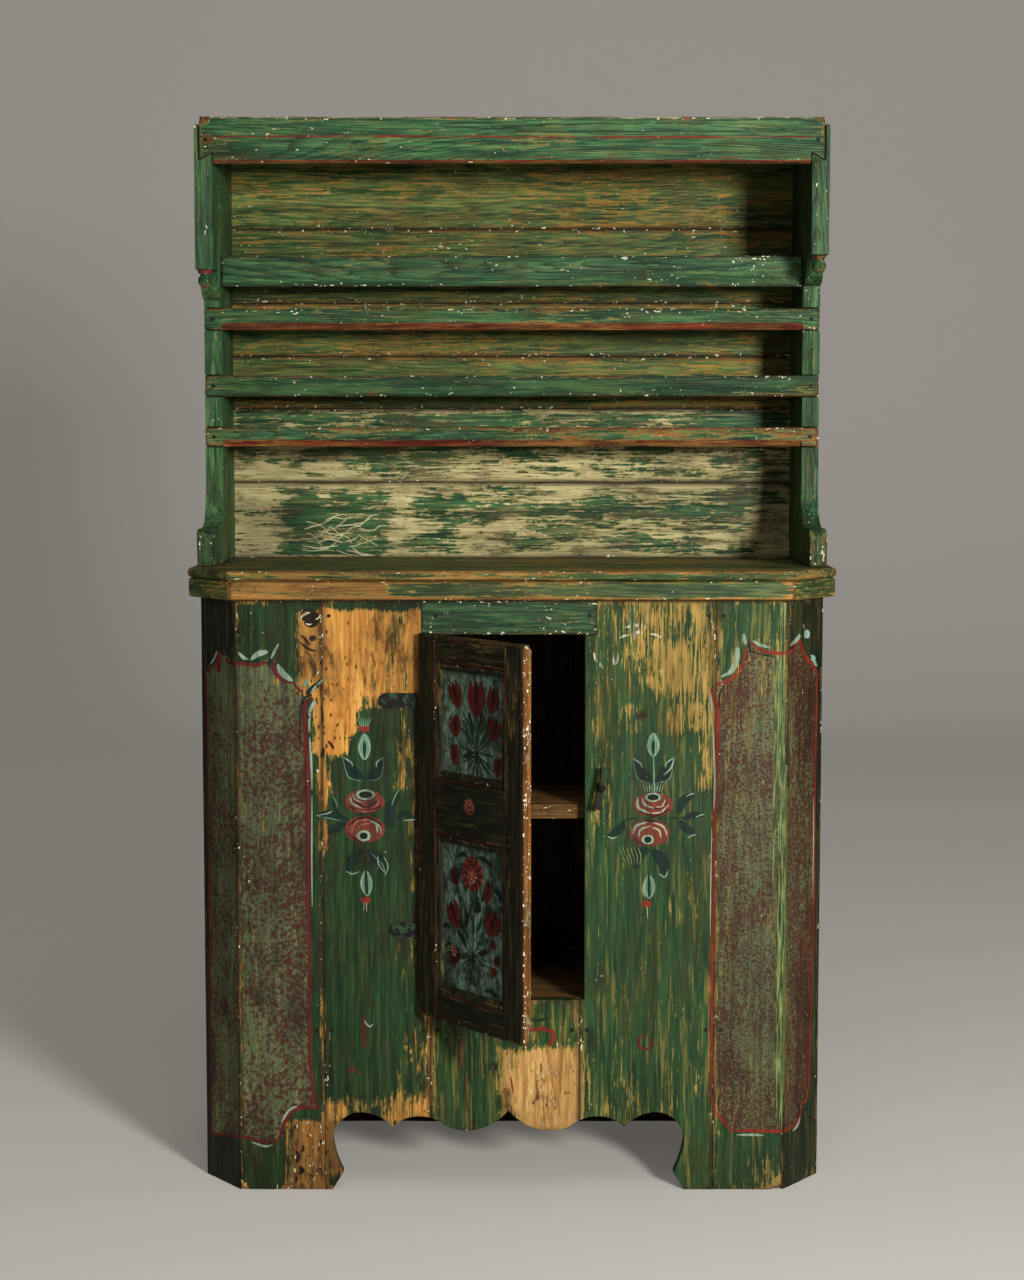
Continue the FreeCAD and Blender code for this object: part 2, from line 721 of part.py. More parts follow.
def rack_side(name, hood_low):
    # drawn from its inner face outwards; heights from the counter
    side = side_of(name)
    body = new_body(f"rack_side_{name}")
    back = -sizes.back_board
    middle = back - sizes.rack_depth
    foot = back - sizes.foot_depth
    hood = back - sizes.hood_depth
    nose_top = sizes.foot_height + sizes.foot_nose
    corners = [
        (back, 0),
        (back, sizes.rack_height),
        (hood, sizes.rack_height),
        (hood, hood_low),
        (middle - sizes.hood_cove, hood_low),
        (middle, hood_low - sizes.hood_cove, sizes.hood_cove),
        (middle, nose_top + sizes.foot_scroll),
        (middle - sizes.foot_scroll, nose_top, -sizes.foot_scroll),
        (foot + sizes.foot_nose, nose_top),
        (foot, sizes.foot_height, sizes.foot_nose),
        (foot, 0),
    ]
    profile = outline(body, f"{body.Name}_profile", "YZ_Plane", corners)
    pad(body, profile, sizes.rack_side, side < 0)
    for rail, low, height in (
        ("lower_bar", sizes.lower_bar_low, sizes.lower_bar_height),
        ("lower_rail", sizes.lower_rail_low, sizes.lower_rail_height),
        ("upper_bar", sizes.upper_bar_low, sizes.upper_bar_height),
    ):
        notch(body, f"{body.Name}_{rail}_notch", low, low + height, side)
    # the body's own plane lies on the inner face, so the dovetail is moved to match
    inner = sizes.rack_inside * side
    dovetail = [(x - inner, z) for x, z in dovetail_corners(side, past_face)]
    front = outline(body, f"{body.Name}_dovetail", "XZ_Plane", dovetail, -hood)
    pocket(body, front, sizes.top_rail_board)
    place(body, x=inner, z=sizes.counter_height)
    return body


def top_rail():
    body = new_body("top_rail")
    low = sizes.rack_height + sizes.top_rail_rise - sizes.top_rail_height
    left = dovetail_corners(-1)
    right = dovetail_corners(1)
    corners = [left[3], left[2], left[1], (left[1][0], low),
               (right[1][0], low), right[1], right[2], right[3]]
    pad(body, outline(body, "top_rail_front", "XZ_Plane", corners), sizes.top_rail_board, True)
    fillet(body, "top_rail_rounding", sizes.top_rail_lip,
           lambda ends: all(near(end.z, low) and near(end.y, 0) for end in ends))
    place(body, y=-(sizes.back_board + sizes.hood_depth), z=sizes.counter_height)
    return body


def plate_bar(name, low, height):
    # let into both sides, with a chamfer along its lower edge that stops at the sides
    body = new_body(name)
    pad(body, outline(body, f"{name}_front", "XZ_Plane", [
        (-sizes.half_rack, 0), (sizes.half_rack, 0),
        (sizes.half_rack, height), (-sizes.half_rack, height)]), sizes.rack_rail, True)
    chamfer = outline(body, f"{name}_chamfer", "YZ_Plane", [
        (-past_face, -past_face), (sizes.chamfer_depth, -past_face),
        (sizes.chamfer_depth, 0), (0, sizes.bar_chamfer),
        (-past_face, sizes.bar_chamfer)], -sizes.rack_inside)
    pocket(body, chamfer, sizes.rack_inside * 2, True)
    place(body, y=-(sizes.back_board + sizes.rack_depth), z=sizes.counter_height + low)
    return body


def rack_boards():
    base = sizes.counter_height
    back = -sizes.back_board
    front = back - sizes.rack_depth
    rail_back = front + sizes.rack_rail
    inside = (-sizes.rack_inside, sizes.rack_inside)
    across = (-sizes.half_rack, sizes.half_rack)
    upper = base + sizes.upper_rail_low
    lower = base + sizes.lower_rail_low
    upper_top = upper + sizes.upper_rail_height
    lower_top = lower + sizes.lower_rail_height
    upper_shelf_top = upper_top - sizes.upper_shelf_lip
    lower_shelf_top = lower_top - sizes.lower_shelf_lip
    roof_top = base + sizes.rack_height - sizes.roof_drop
    boards = [
        board("upper_shelf_rail", inside, (front, rail_back), (upper, upper_top)),
        board("lower_shelf_rail", across, (front, rail_back), (lower, lower_top)),
        board("upper_shelf", inside, (rail_back, back),
              (upper_shelf_top - sizes.rack_board, upper_shelf_top)),
        board("lower_shelf", inside, (rail_back, back),
              (lower_shelf_top - sizes.rack_board, lower_shelf_top)),
        board("roof_board", inside,
              (back - sizes.hood_depth + sizes.top_rail_board, back),
              (roof_top - sizes.roof_board, roof_top)),
    ]
    seams = [measure(0), sizes.rack_seam_1, sizes.rack_seam_2, sizes.rack_seam_3,
             sizes.rack_seam_4, sizes.rack_seam_5, sizes.rack_height + sizes.back_gap]
    for index in range(len(seams) - 1):
        boards.append(board(f"rack_back_board_{index + 1}", across, (back, 0),
                            (base + seams[index], base + seams[index + 1] - sizes.back_gap)))
    return boards


def hood_drops():
    # a collar and a ball turned in one piece, hanging under each hood
    drops = []
    collar_low = -sizes.drop_collar
    ball = sizes.drop_ball
    neck = ball * neck_across
    neck_low = collar_low - ball * (1 - neck_up)
    tip = neck_low - ball * (1 + neck_up)
    for name, hood_low in (("left", sizes.hood_left), ("right", sizes.hood_right)):
        body = new_body(f"hood_drop_{name}")
        sketch = outline(body, f"{body.Name}_half", "XZ_Plane", [
            (0, tip), (neck, neck_low, ball), (neck, collar_low),
            (ball, collar_low), (ball, 0), (0, 0)])
        turned = body.newObject("PartDesign::Revolution", f"{body.Name}_turned")
        turned.Profile = sketch
        turned.ReferenceAxis = (sketch, ["V_Axis"])
        turned.Angle = 360
        place(body, (sizes.half_rack - sizes.rack_side / 2) * side_of(name),
              sizes.drop_inset - sizes.back_board - sizes.hood_depth,
              sizes.counter_height + hood_low)
        drops.append(body)
    return group("hood_drops", drops)


def hinge_strap(name, middle, length):
    # a flat strap on the planks with a rounded end, and the two outer knuckles
    pin_x = -sizes.hinge_across
    pin_y = -(sizes.base_depth + sizes.hinge_out)
    low = middle - sizes.hinge_height / 2
    third = sizes.hinge_height / 3
    face = -sizes.base_depth
    end_x = pin_x - length + sizes.hinge_height / 2
    end = rod(f"{name}_end", sizes.hinge_height / 2, sizes.strap, end_x, face, middle)
    end.Placement.Rotation = FreeCAD.Rotation(FreeCAD.Vector(1, 0, 0), 90)
    members = [board(f"{name}_plate", (end_x, pin_x + 1), (face - sizes.strap, face),
                     (low, low + sizes.hinge_height)), end]
    for where, bottom in (("low", low), ("high", low + third * 2)):
        members.append(rod(f"{name}_knuckle_{where}", sizes.knuckle, third, pin_x, pin_y, bottom))
        members.append(board(f"{name}_web_{where}", (pin_x - sizes.knuckle, pin_x + 1),
                             (pin_y, face), (bottom, bottom + third)))
    bore = rod(f"{name}_bore", sizes.pin + sizes.pin_seat, sizes.hinge_height, pin_x, pin_y, low)
    return cut(name, fuse(f"{name}_blank", members), bore)


def hinge_pins():
    pins = []
    pin_y = -(sizes.base_depth + sizes.hinge_out)
    for name, middle in (("upper", sizes.hinge_upper), ("lower", sizes.hinge_lower)):
        low = middle - sizes.hinge_height / 2
        high = low + sizes.hinge_height
        pins.append(fuse(f"hinge_pin_{name}", [
            rod(f"hinge_pin_{name}_{part}", radius, length, -sizes.hinge_across, pin_y, bottom)
            for part, radius, length, bottom in (
                ("shank", sizes.pin, sizes.hinge_height, low),
                ("foot", sizes.pin_head, sizes.pin_head_height, low - sizes.pin_head_height),
                ("head", sizes.pin_head, sizes.pin_head_height, high))]))
    return group("hinge_pins", pins)


def leaf_depth_range():
    # front and back of the leaf in the door's edge, behind the pin
    return -sizes.knuckle, sizes.leaf_depth - sizes.knuckle


def hinge_leaves():
    # each leaf lies in the door's hinge edge and carries the middle knuckle
    leaves = []
    front, back = leaf_depth_range()
    third = sizes.hinge_height / 3
    for name, middle in (("upper", sizes.hinge_upper), ("lower", sizes.hinge_lower)):
        low = middle - sizes.door_low - sizes.hinge_height / 2
        knuckle_low = low + third + sizes.knuckle_gap
        knuckle_high = low + third * 2 - sizes.knuckle_gap
        label = f"hinge_leaf_{name}"
        plate = board(f"{label}_plate", (sizes.hinge_side, sizes.hinge_side + sizes.leaf),
                      (front, back), (low, low + sizes.hinge_height))
        knuckle = rod(f"{label}_knuckle", sizes.knuckle, knuckle_high - knuckle_low,
                      z=knuckle_low)
        web = board(f"{label}_web", (0, sizes.hinge_side + sizes.leaf),
                    (front, front + sizes.leaf), (knuckle_low, knuckle_high))
        bore = rod(f"{label}_bore", sizes.pin + sizes.pin_clear, sizes.hinge_height, z=low)
        leaves.append(cut(label, fuse(f"{label}_blank", [plate, knuckle, web]), bore))
    both = group("hinge_leaves", leaves)
    place_on_door(both)
    return both


def door_stile(name, outer, inner, rebated):
    # upright member with a groove for the panels along its inner edge; the free stile
    # also has its rebate along the outer edge
    body = new_body(name)
    towards = 1 if inner.value > outer.value else -1
    step = outer + sizes.rebate_side * towards if rebated else outer
    bottom_of_groove = inner - sizes.groove * towards
    front, back = -sizes.door_face, sizes.door_back
    section = [(outer, front), (inner, front), (inner, sizes.panel_face),
               (bottom_of_groove, sizes.panel_face), (bottom_of_groove, sizes.panel_back),
               (inner, sizes.panel_back), (inner, back), (step, back)]
    if rebated:
        section += [(step, sizes.door_step), (outer, sizes.door_step)]
    pad(body, outline(body, f"{name}_section", "XY_Plane", section), sizes.door_height)
    # the rebates across the two ends
    low_x = outer if towards > 0 else inner
    high_x = inner if towards > 0 else outer
    for where, low, high in (
        ("foot", measure(-past_face), sizes.rebate_bottom),
        ("head", sizes.door_height - sizes.rebate_top, sizes.door_height + past_face),
    ):
        rebate = outline(body, f"{name}_{where}", "XZ_Plane", [
            (low_x - past_face, low), (high_x + past_face, low),
            (high_x + past_face, high), (low_x - past_face, high)], -sizes.door_step)
        pocket(body, rebate, sizes.rebate + past_face)
    place_on_door(body)
    return body


def leaf_mortises(stile):
    # two shallow mortises in the hinge edge, each for a leaf
    front, back = leaf_depth_range()
    for name, middle in (("upper", sizes.hinge_upper), ("lower", sizes.hinge_lower)):
        low = middle - sizes.door_low - sizes.hinge_height / 2
        high = low + sizes.hinge_height
        mortise = outline(stile, f"{stile.Name}_{name}_mortise", "YZ_Plane", [
            (front, low), (back, low), (back, high), (front, high)], sizes.hinge_side)
        pocket(stile, mortise, sizes.leaf, True)


def door_rail(name, low, high, where):
    # level member between the stiles, with stub tenons that fill the stiles' grooves
    body = new_body(name)
    front, back = -sizes.door_face, sizes.door_back
    grooved_below = where != "bottom"
    grooved_above = where != "top"
    section = [(front, low)]
    tongue_low = low
    tongue_high = high
    if grooved_below:
        tongue_low = low + sizes.groove
        section += [(sizes.panel_face, low), (sizes.panel_face, tongue_low),
                    (sizes.panel_back, tongue_low), (sizes.panel_back, low), (back, low)]
    else:
        tongue_low = sizes.rebate_bottom
        section += [(sizes.door_step, low), (sizes.door_step, tongue_low), (back, tongue_low)]
    if grooved_above:
        tongue_high = high - sizes.groove
        section += [(back, high), (sizes.panel_back, high), (sizes.panel_back, tongue_high),
                    (sizes.panel_face, tongue_high), (sizes.panel_face, high)]
    else:
        tongue_high = high - sizes.rebate_top
        section += [(back, tongue_high), (sizes.door_step, tongue_high),
                    (sizes.door_step, high)]
    section.append((front, high))
    left = sizes.hinge_side + sizes.stile
    length = sizes.door_width - sizes.stile * 2
    pad(body, outline(body, f"{name}_section", "YZ_Plane", section, left), length)
    tongue = [(sizes.panel_face, tongue_low), (sizes.panel_back, tongue_low),
              (sizes.panel_back, tongue_high), (sizes.panel_face, tongue_high)]
    pad(body, outline(body, f"{name}_tongue", "YZ_Plane", tongue, left - sizes.groove),
        length + sizes.groove * 2)
    place_on_door(body)
    return body


def door_panel(name, low, high):
    # a flat panel loose in the grooves, standing on the groove below it
    left = sizes.hinge_side + sizes.stile - sizes.groove + sizes.panel_play
    right = (sizes.hinge_side + sizes.door_width - sizes.stile + sizes.groove
             - sizes.panel_play)
    body = new_body(name)
    pad(body, outline(body, f"{name}_front", "XZ_Plane", [
        (left, low - sizes.groove), (right, low - sizes.groove),
        (right, high + sizes.groove - sizes.panel_play),
        (left, high + sizes.groove - sizes.panel_play)], -sizes.panel_face),
        sizes.panel_board, True)
    place_on_door(body)
    return body


def panel_moulding(name, low, high):
    # the moulding that runs round a panel, rounded towards the panel
    left = sizes.hinge_side + sizes.stile
    right = sizes.hinge_side + sizes.door_width - sizes.stile
    width = sizes.moulding_width
    body = new_body(name)
    pad(body, outline(body, f"{name}_outside", "XZ_Plane", [
        (left, low), (right, low), (right, high), (left, high)], -sizes.panel_face),
        sizes.moulding_height)
    inside = outline(body, f"{name}_inside", "XZ_Plane", [
        (left + width, low + width), (right - width, low + width),
        (right - width, high - width), (left + width, high - width)], -sizes.panel_face)
    pocket(body, inside, sizes.moulding_height, True)
    inner_x = (left + width, right - width)
    front = sizes.panel_face - sizes.moulding_height

    def towards_panel(ends):
        return all(
            near(end.y, front)
            and inner_x[0].value - 0.01 < end.x < inner_x[1].value + 0.01
            for end in ends)

    fillet(body, f"{name}_rounding", sizes.moulding_curve, towards_panel)
    place_on_door(body)
    return body


def door():
    outer = sizes.hinge_side
    inner = outer + sizes.stile
    far_outer = outer + sizes.door_width
    far_inner = far_outer - sizes.stile
    hinge_stile = door_stile("door_stile_hinge", outer, inner, False)
    leaf_mortises(hinge_stile)
    top_low = sizes.door_height - sizes.top_rail_of_door
    lock_high = sizes.lock_rail_low + sizes.lock_rail
    return [
        hinge_stile,
        door_stile("door_stile_free", far_outer, far_inner, True),
        door_rail("door_rail_top", top_low, sizes.door_height, "top"),
        door_rail("door_rail_lock", sizes.lock_rail_low, lock_high, "lock"),
        door_rail("door_rail_bottom", measure(0), sizes.bottom_rail, "bottom"),
        door_panel("door_panel_upper", lock_high, top_low),
        door_panel("door_panel_lower", sizes.bottom_rail, sizes.lock_rail_low),
        panel_moulding("door_moulding_upper", lock_high, top_low),
        panel_moulding("door_moulding_lower", sizes.bottom_rail, sizes.lock_rail_low),
        hinge_leaves(),
    ]


def turn_button():
    # a bow tie on its nail, drawn upright and then leaned over
    body = new_body("turn_button")
    half_end = sizes.button_end / 2
    half_waist = sizes.button_waist / 2
    half_length = sizes.button_length / 2
    pad(body, outline(body, "turn_button_front", "XZ_Plane", [
        (-half_end, -half_length), (half_end, -half_length), (half_waist, 0),
        (half_end, half_length), (-half_end, half_length), (-half_waist, 0)]),
        sizes.button_board)
    bore = ring_sketch(body, "turn_button_bore", "XZ_Plane", sizes.nail + sizes.nail_clear)
    pocket(body, bore, sizes.button_board, True)
    body.Placement.Rotation = FreeCAD.Rotation(FreeCAD.Vector(0, 1, 0), 1)
    stands_off = sizes.spacer_length + sizes.button_clear
    place(body, sizes.button_across, -(sizes.base_depth + stands_off), sizes.button_height)
    body.setExpression("Placement.Rotation.Angle", "Sizes.button_tilt * 1 deg")
    return body


def button_spacer():
    spacer = rod("button_spacer", sizes.spacer, sizes.spacer_length,
                 sizes.button_across, -sizes.base_depth, sizes.button_height)
    spacer.Placement.Rotation = FreeCAD.Rotation(FreeCAD.Vector(1, 0, 0), 90)
    return spacer


def button_nail():
    # shank from the spacer's face, and a domed head in front of the button
    body = new_body("button_nail")
    shank = sizes.button_board + sizes.button_clear * 2
    dome = sizes.nail_dome
    dome_radius = (sizes.nail_head * sizes.nail_head + dome * dome) / (dome * 2)
    sketch = outline(body, "button_nail_half", "XY_Plane", [
        (0, 0), (0, -(shank + dome)), (sizes.nail_head, -shank, dome_radius),
        (sizes.nail, -shank), (sizes.nail, 0)])
    turned = body.newObject("PartDesign::Revolution", "button_nail_turned")
    turned.Profile = sketch
    turned.ReferenceAxis = (sketch, ["V_Axis"])
    turned.Angle = 360
    place(body, sizes.button_across, -(sizes.base_depth + sizes.spacer_length),
          sizes.button_height)
    return body


def nail_heads():
    # heads along the two battens, at the rails' ends and on the straps
    face = -sizes.base_depth
    rack_face = -(sizes.back_board + sizes.rack_depth)
    edge = sizes.tack_edge
    spots = []
    foot_line_nails = sizes.floor_top - sizes.floor_board - sizes.batten_height / 2
    head_line = sizes.front_height - sizes.batten_height / 2
    for x in (-sizes.seam_left - edge, edge - sizes.seam_left,
              edge - sizes.opening_left + edge, sizes.head_rail_right - edge,
              sizes.seam_right - edge, sizes.seam_right + edge):
        spots.append((x, face, head_line))
    for x in (-sizes.seam_left - edge, edge - sizes.seam_left, -sizes.apron_left - edge,
              edge - sizes.apron_left, sizes.apron_right - edge, sizes.apron_right + edge,
              sizes.seam_right - edge, sizes.seam_right + edge):
        spots.append((x, face, foot_line_nails))
    rail_end = sizes.half_rack - sizes.rack_side / 2
    for low, height in ((sizes.lower_bar_low, sizes.lower_bar_height),
                        (sizes.lower_rail_low, sizes.lower_rail_height),
                        (sizes.upper_bar_low, sizes.upper_bar_height)):
        for side in (-1, 1):
            spots.append((rail_end * side, rack_face, sizes.counter_height + low + height / 2))
    for side in (-1, 1):
        spots.append(((sizes.half_rack - sizes.outer_strip - edge) * side,
                      -(sizes.back_board + sizes.hood_depth),
                      sizes.counter_height + sizes.rack_height - sizes.top_rail_height / 3))
    for middle, length in ((sizes.hinge_upper, sizes.strap_upper),
                           (sizes.hinge_lower, sizes.strap_lower)):
        for x in (edge - length, -sizes.tack_pin):
            spots.append((x - sizes.hinge_across, face - sizes.strap, middle))
    heads = []
    for number, (x, y, z) in enumerate(spots, 1):
        head = rod(f"nail_head_{number}", sizes.tack, sizes.tack_height, x, y, z)
        head.Placement.Rotation = FreeCAD.Rotation(FreeCAD.Vector(1, 0, 0), 90)
        heads.append(head)
    return group("nail_heads", heads)


def export(sub_parts):
    document.recompute()
    for thing in document.Objects:
        if "Invalid" in thing.State or "Error" in thing.State:
            raise RuntimeError(f"{thing.Name} failed: {thing.State}")
        if thing.TypeId == "Sketcher::SketchObject" and not thing.FullyConstrained:
            raise RuntimeError(f"{thing.Name} isn't fully constrained")
    for thing in sub_parts:
        if thing.Shape.isNull() or not thing.Shape.isValid():
            raise RuntimeError(f"{thing.Label} has no valid shape")
    os.makedirs("parts", exist_ok=True)
    for thing in sub_parts:
        thing.Shape.exportStep(f"parts/{thing.Label}.step")
    print(f"{len(sub_parts)} sub-parts written")


def build():
    document.recompute()
    sub_parts = [base_side("left"), base_side("right"), cant_board("left"), cant_board("right"),
                 front_corner_plank("left", sizes.seam_left),
                 front_corner_plank("right", sizes.seam_right)]
    sub_parts += front_planks()
    sub_parts += base_inside()
    sub_parts += base_back_boards(5)
    sub_parts.append(counter_top())
    sub_parts += counter_rails()
    sub_parts += [rack_side("left", sizes.hood_left), rack_side("right", sizes.hood_right),
                  top_rail(),
                  plate_bar("upper_plate_bar", sizes.upper_bar_low, sizes.upper_bar_height),
                  plate_bar("lower_plate_bar", sizes.lower_bar_low, sizes.lower_bar_height)]
    sub_parts += rack_boards()
    sub_parts += [hood_drops(),
                  hinge_strap("hinge_strap_upper", sizes.hinge_upper, sizes.strap_upper),
                  hinge_strap("hinge_strap_lower", sizes.hinge_lower, sizes.strap_lower),
                  hinge_pins(), button_spacer(), button_nail(), nail_heads()]
    sub_parts += door()
    sub_parts.append(turn_button())
    export(sub_parts)


build()
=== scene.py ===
import math
import random

import bmesh
import bpy
from mathutils import Matrix, Vector, noise


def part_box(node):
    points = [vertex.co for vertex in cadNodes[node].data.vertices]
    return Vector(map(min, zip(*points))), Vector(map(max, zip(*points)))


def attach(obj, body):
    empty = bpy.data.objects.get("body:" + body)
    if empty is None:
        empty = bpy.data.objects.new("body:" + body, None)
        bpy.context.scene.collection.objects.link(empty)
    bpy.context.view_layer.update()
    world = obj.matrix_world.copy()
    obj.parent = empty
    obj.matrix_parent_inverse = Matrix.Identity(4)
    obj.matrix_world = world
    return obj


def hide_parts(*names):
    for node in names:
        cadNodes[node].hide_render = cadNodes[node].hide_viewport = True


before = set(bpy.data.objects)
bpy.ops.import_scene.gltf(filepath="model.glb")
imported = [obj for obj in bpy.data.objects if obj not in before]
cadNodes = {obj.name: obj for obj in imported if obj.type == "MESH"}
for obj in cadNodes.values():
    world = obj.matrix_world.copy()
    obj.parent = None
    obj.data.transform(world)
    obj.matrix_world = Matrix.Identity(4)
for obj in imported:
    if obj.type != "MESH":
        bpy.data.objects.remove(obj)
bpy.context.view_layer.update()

mm = 0.001
print("frame loaded")


# small tools

def linear(hexText):
    # sRGB hex to linear colour
    parts = [int(hexText[i:i + 2], 16) / 255 for i in (1, 3, 5)]
    return [c / 12.92 if c <= 0.04045 else ((c + 0.055) / 1.055) ** 2.4 for c in parts] + [1.0]


def addNode(tree, kind, inputs=None, out=0, **settings):
    # one node with its settings and links, given back as the output that the next node reads;
    # an input takes a number, a colour in hex, or the output it is linked from
    node = tree.nodes.new("ShaderNode" + kind)
    for name, value in settings.items():
        setattr(node, name, value)
    for key, value in (inputs or {}).items():
        if isinstance(value, bpy.types.NodeSocket):
            tree.links.new(value, node.inputs[key])
        else:
            node.inputs[key].default_value = linear(value) if isinstance(value, str) else value
    return node.outputs[out] if node.outputs else node


def smoothStep(low, high, value):
    t = min(1.0, max(0.0, (value - low) / (high - low)))
    return t * t * (3 - 2 * t)


# camera, floor and light

camera = {
    "lens": 66.46,      # for 36 mm along the long side of the picture
    "height": 1.237,
    "back": 4.167,
    "down": 5.08,       # degrees
}
room = {
    "paper": "#c9c4bb",
    "half": 9,          # half the floor's width
    "bend": 2.0,        # radius of the bend where the paper turns up behind the cupboard
    "behind": 5,        # where it starts to turn up
    "rise": 8,          # and how far it goes up from there
    "glow": 0.16,       # how much of its own light the paper shows the camera
    "world": 0.15,      # soft light from all round
    "aim": (0, -0.2, 0.9),
    "lamps": {          # watts, size, degrees to the right of the front, degrees up, metres away
        "key": (225, 0.62, 25, 10, 4.6),
        "fill": (10, 2.4, -14, 16, 4.6),
        "sky": (24, 2.2, 8, 58, 4.2),
    },
}


def placeInScene(name, data):
    made = bpy.data.objects.new(name, data)
    bpy.context.scene.collection.objects.link(made)
    return made


def buildFloor():
    bm = bmesh.new()
    bmesh.ops.create_grid(bm, x_segments=1, y_segments=1, size=room["half"])
    bmesh.ops.translate(bm, verts=bm.verts, vec=(0, room["behind"] - room["half"], 0))
    backEdge = [e for e in bm.edges if all(v.co.y > room["behind"] - 1 for v in e.verts)]
    turned = bmesh.ops.spin(bm, geom=backEdge, cent=(0, room["behind"], room["bend"]), axis=(1, 0, 0),
                            dvec=(0, 0, 0), angle=math.radians(90), steps=16, use_merge=False)["geom_last"]
    raised = bmesh.ops.extrude_edge_only(bm, edges=[g for g in turned if isinstance(g, bmesh.types.BMEdge)])
    bmesh.ops.translate(bm, verts=[g for g in raised["geom"] if isinstance(g, bmesh.types.BMVert)],
                        vec=(0, 0, room["rise"]))
    for face in bm.faces:
        face.smooth = True
    mesh = bpy.data.meshes.new("floor")
    bm.to_mesh(mesh)
    bm.free()
    floor = placeInScene("floor", mesh)
    paper = bpy.data.materials.new("studioPaper")
    paper.use_nodes = True
    tree = paper.node_tree
    shader = tree.nodes["Principled BSDF"]
    shader.inputs["Base Color"].default_value = linear(room["paper"])
    shader.inputs["Roughness"].default_value = 0.9
    seen = addNode(tree, "LightPath", out="Is Camera Ray")
    seen = addNode(tree, "Math", {0: seen, 1: room["glow"]}, operation="MULTIPLY")
    glow = addNode(tree, "Emission", {"Color": room["paper"], "Strength": seen})
    both = addNode(tree, "AddShader", {0: shader.outputs[0], 1: glow})
    tree.links.new(both, tree.nodes["Material Output"].inputs["Surface"])
    mesh.materials.append(paper)


def buildRoom():
    cameraData = bpy.data.cameras.new("camera")
    cameraData.lens = camera["lens"]
    cameraData.sensor_width = 36
    cameraObject = placeInScene("camera", cameraData)
    cameraObject.location = (0, -camera["back"], camera["height"])
    cameraObject.rotation_euler = (math.radians(90 - camera["down"]), 0, 0)
    bpy.context.scene.camera = cameraObject
    bpy.context.scene.view_settings.view_transform = "Standard"
    buildFloor()

    world = bpy.data.worlds.new("studio")
    bpy.context.scene.world = world
    world.use_nodes = True
    world.node_tree.nodes["Background"].inputs["Color"].default_value = (1, 1, 1, 1)
    world.node_tree.nodes["Background"].inputs["Strength"].default_value = room["world"]
    for name, (watts, size, turn, up, far) in room["lamps"].items():
        a, e = math.radians(turn), math.radians(up)
        way = Vector((math.sin(a) * math.cos(e), -math.cos(a) * math.cos(e), math.sin(e)))
        lampData = bpy.data.lights.new(name, "AREA")
        lampData.energy = watts
        lampData.size = size
        lamp = placeInScene(name, lampData)
        lamp.location = Vector(room["aim"]) + way * far
        lamp.rotation_euler = (-way).to_track_quat("-Z", "Y").to_euler()


buildRoom()
print("room and camera made")


# finishes
# Oil paint brushed over pine, one or two old coats, rubbed through along the fibres and the arrises.
# It gives the eye thin streaks of wood, pale flecks of undercoat and a dull, uneven sheen.

greenCoat = {
    "dark": "#10281a", "mid": "#224a2a", "light": "#3f6837", "aged": "#3c3d19", "under": "#6c6733",
    "woodLight": "#9c7640", "woodDark": "#54391b", "stain": "#41260f", "fleckColour": "#cbc6a6",
    "wear": 0.665,      # how much rubbing the coat stands before the undercoat shows
    "step": 0.045,      # and how much more before the wood does
    "streak": 0.42,     # how far the fibres steer the wear
    "patch": 7,         # worn places per metre, about
    "lines": 42,        # contour lines of the growth rings: the more, the closer they stand
    "groove": 0.35,     # how dark the rings show through the coat
    "thin": 0.35,       # how much undercoat shows in the streaks of a thin coat
    "fleck": 0.80,      # 1 leaves no pale flecks
    "soil": 0.35,       # dark dirt in clouds
    "stained": 0.45,    # dark stains on the bare wood
    "grit": 120,        # dabs of the marbling per metre
    "dabs": 0.50,       # the lower, the more dark red
}
coatTones = ("dark", "mid", "light", "aged", "under", "woodLight", "woodDark")


def coat(tones, **rest):
    # tones in the order of coatTones; what isn't given is as on the green coat
    return {**greenCoat, **dict(zip(coatTones, tones.split())), **rest}


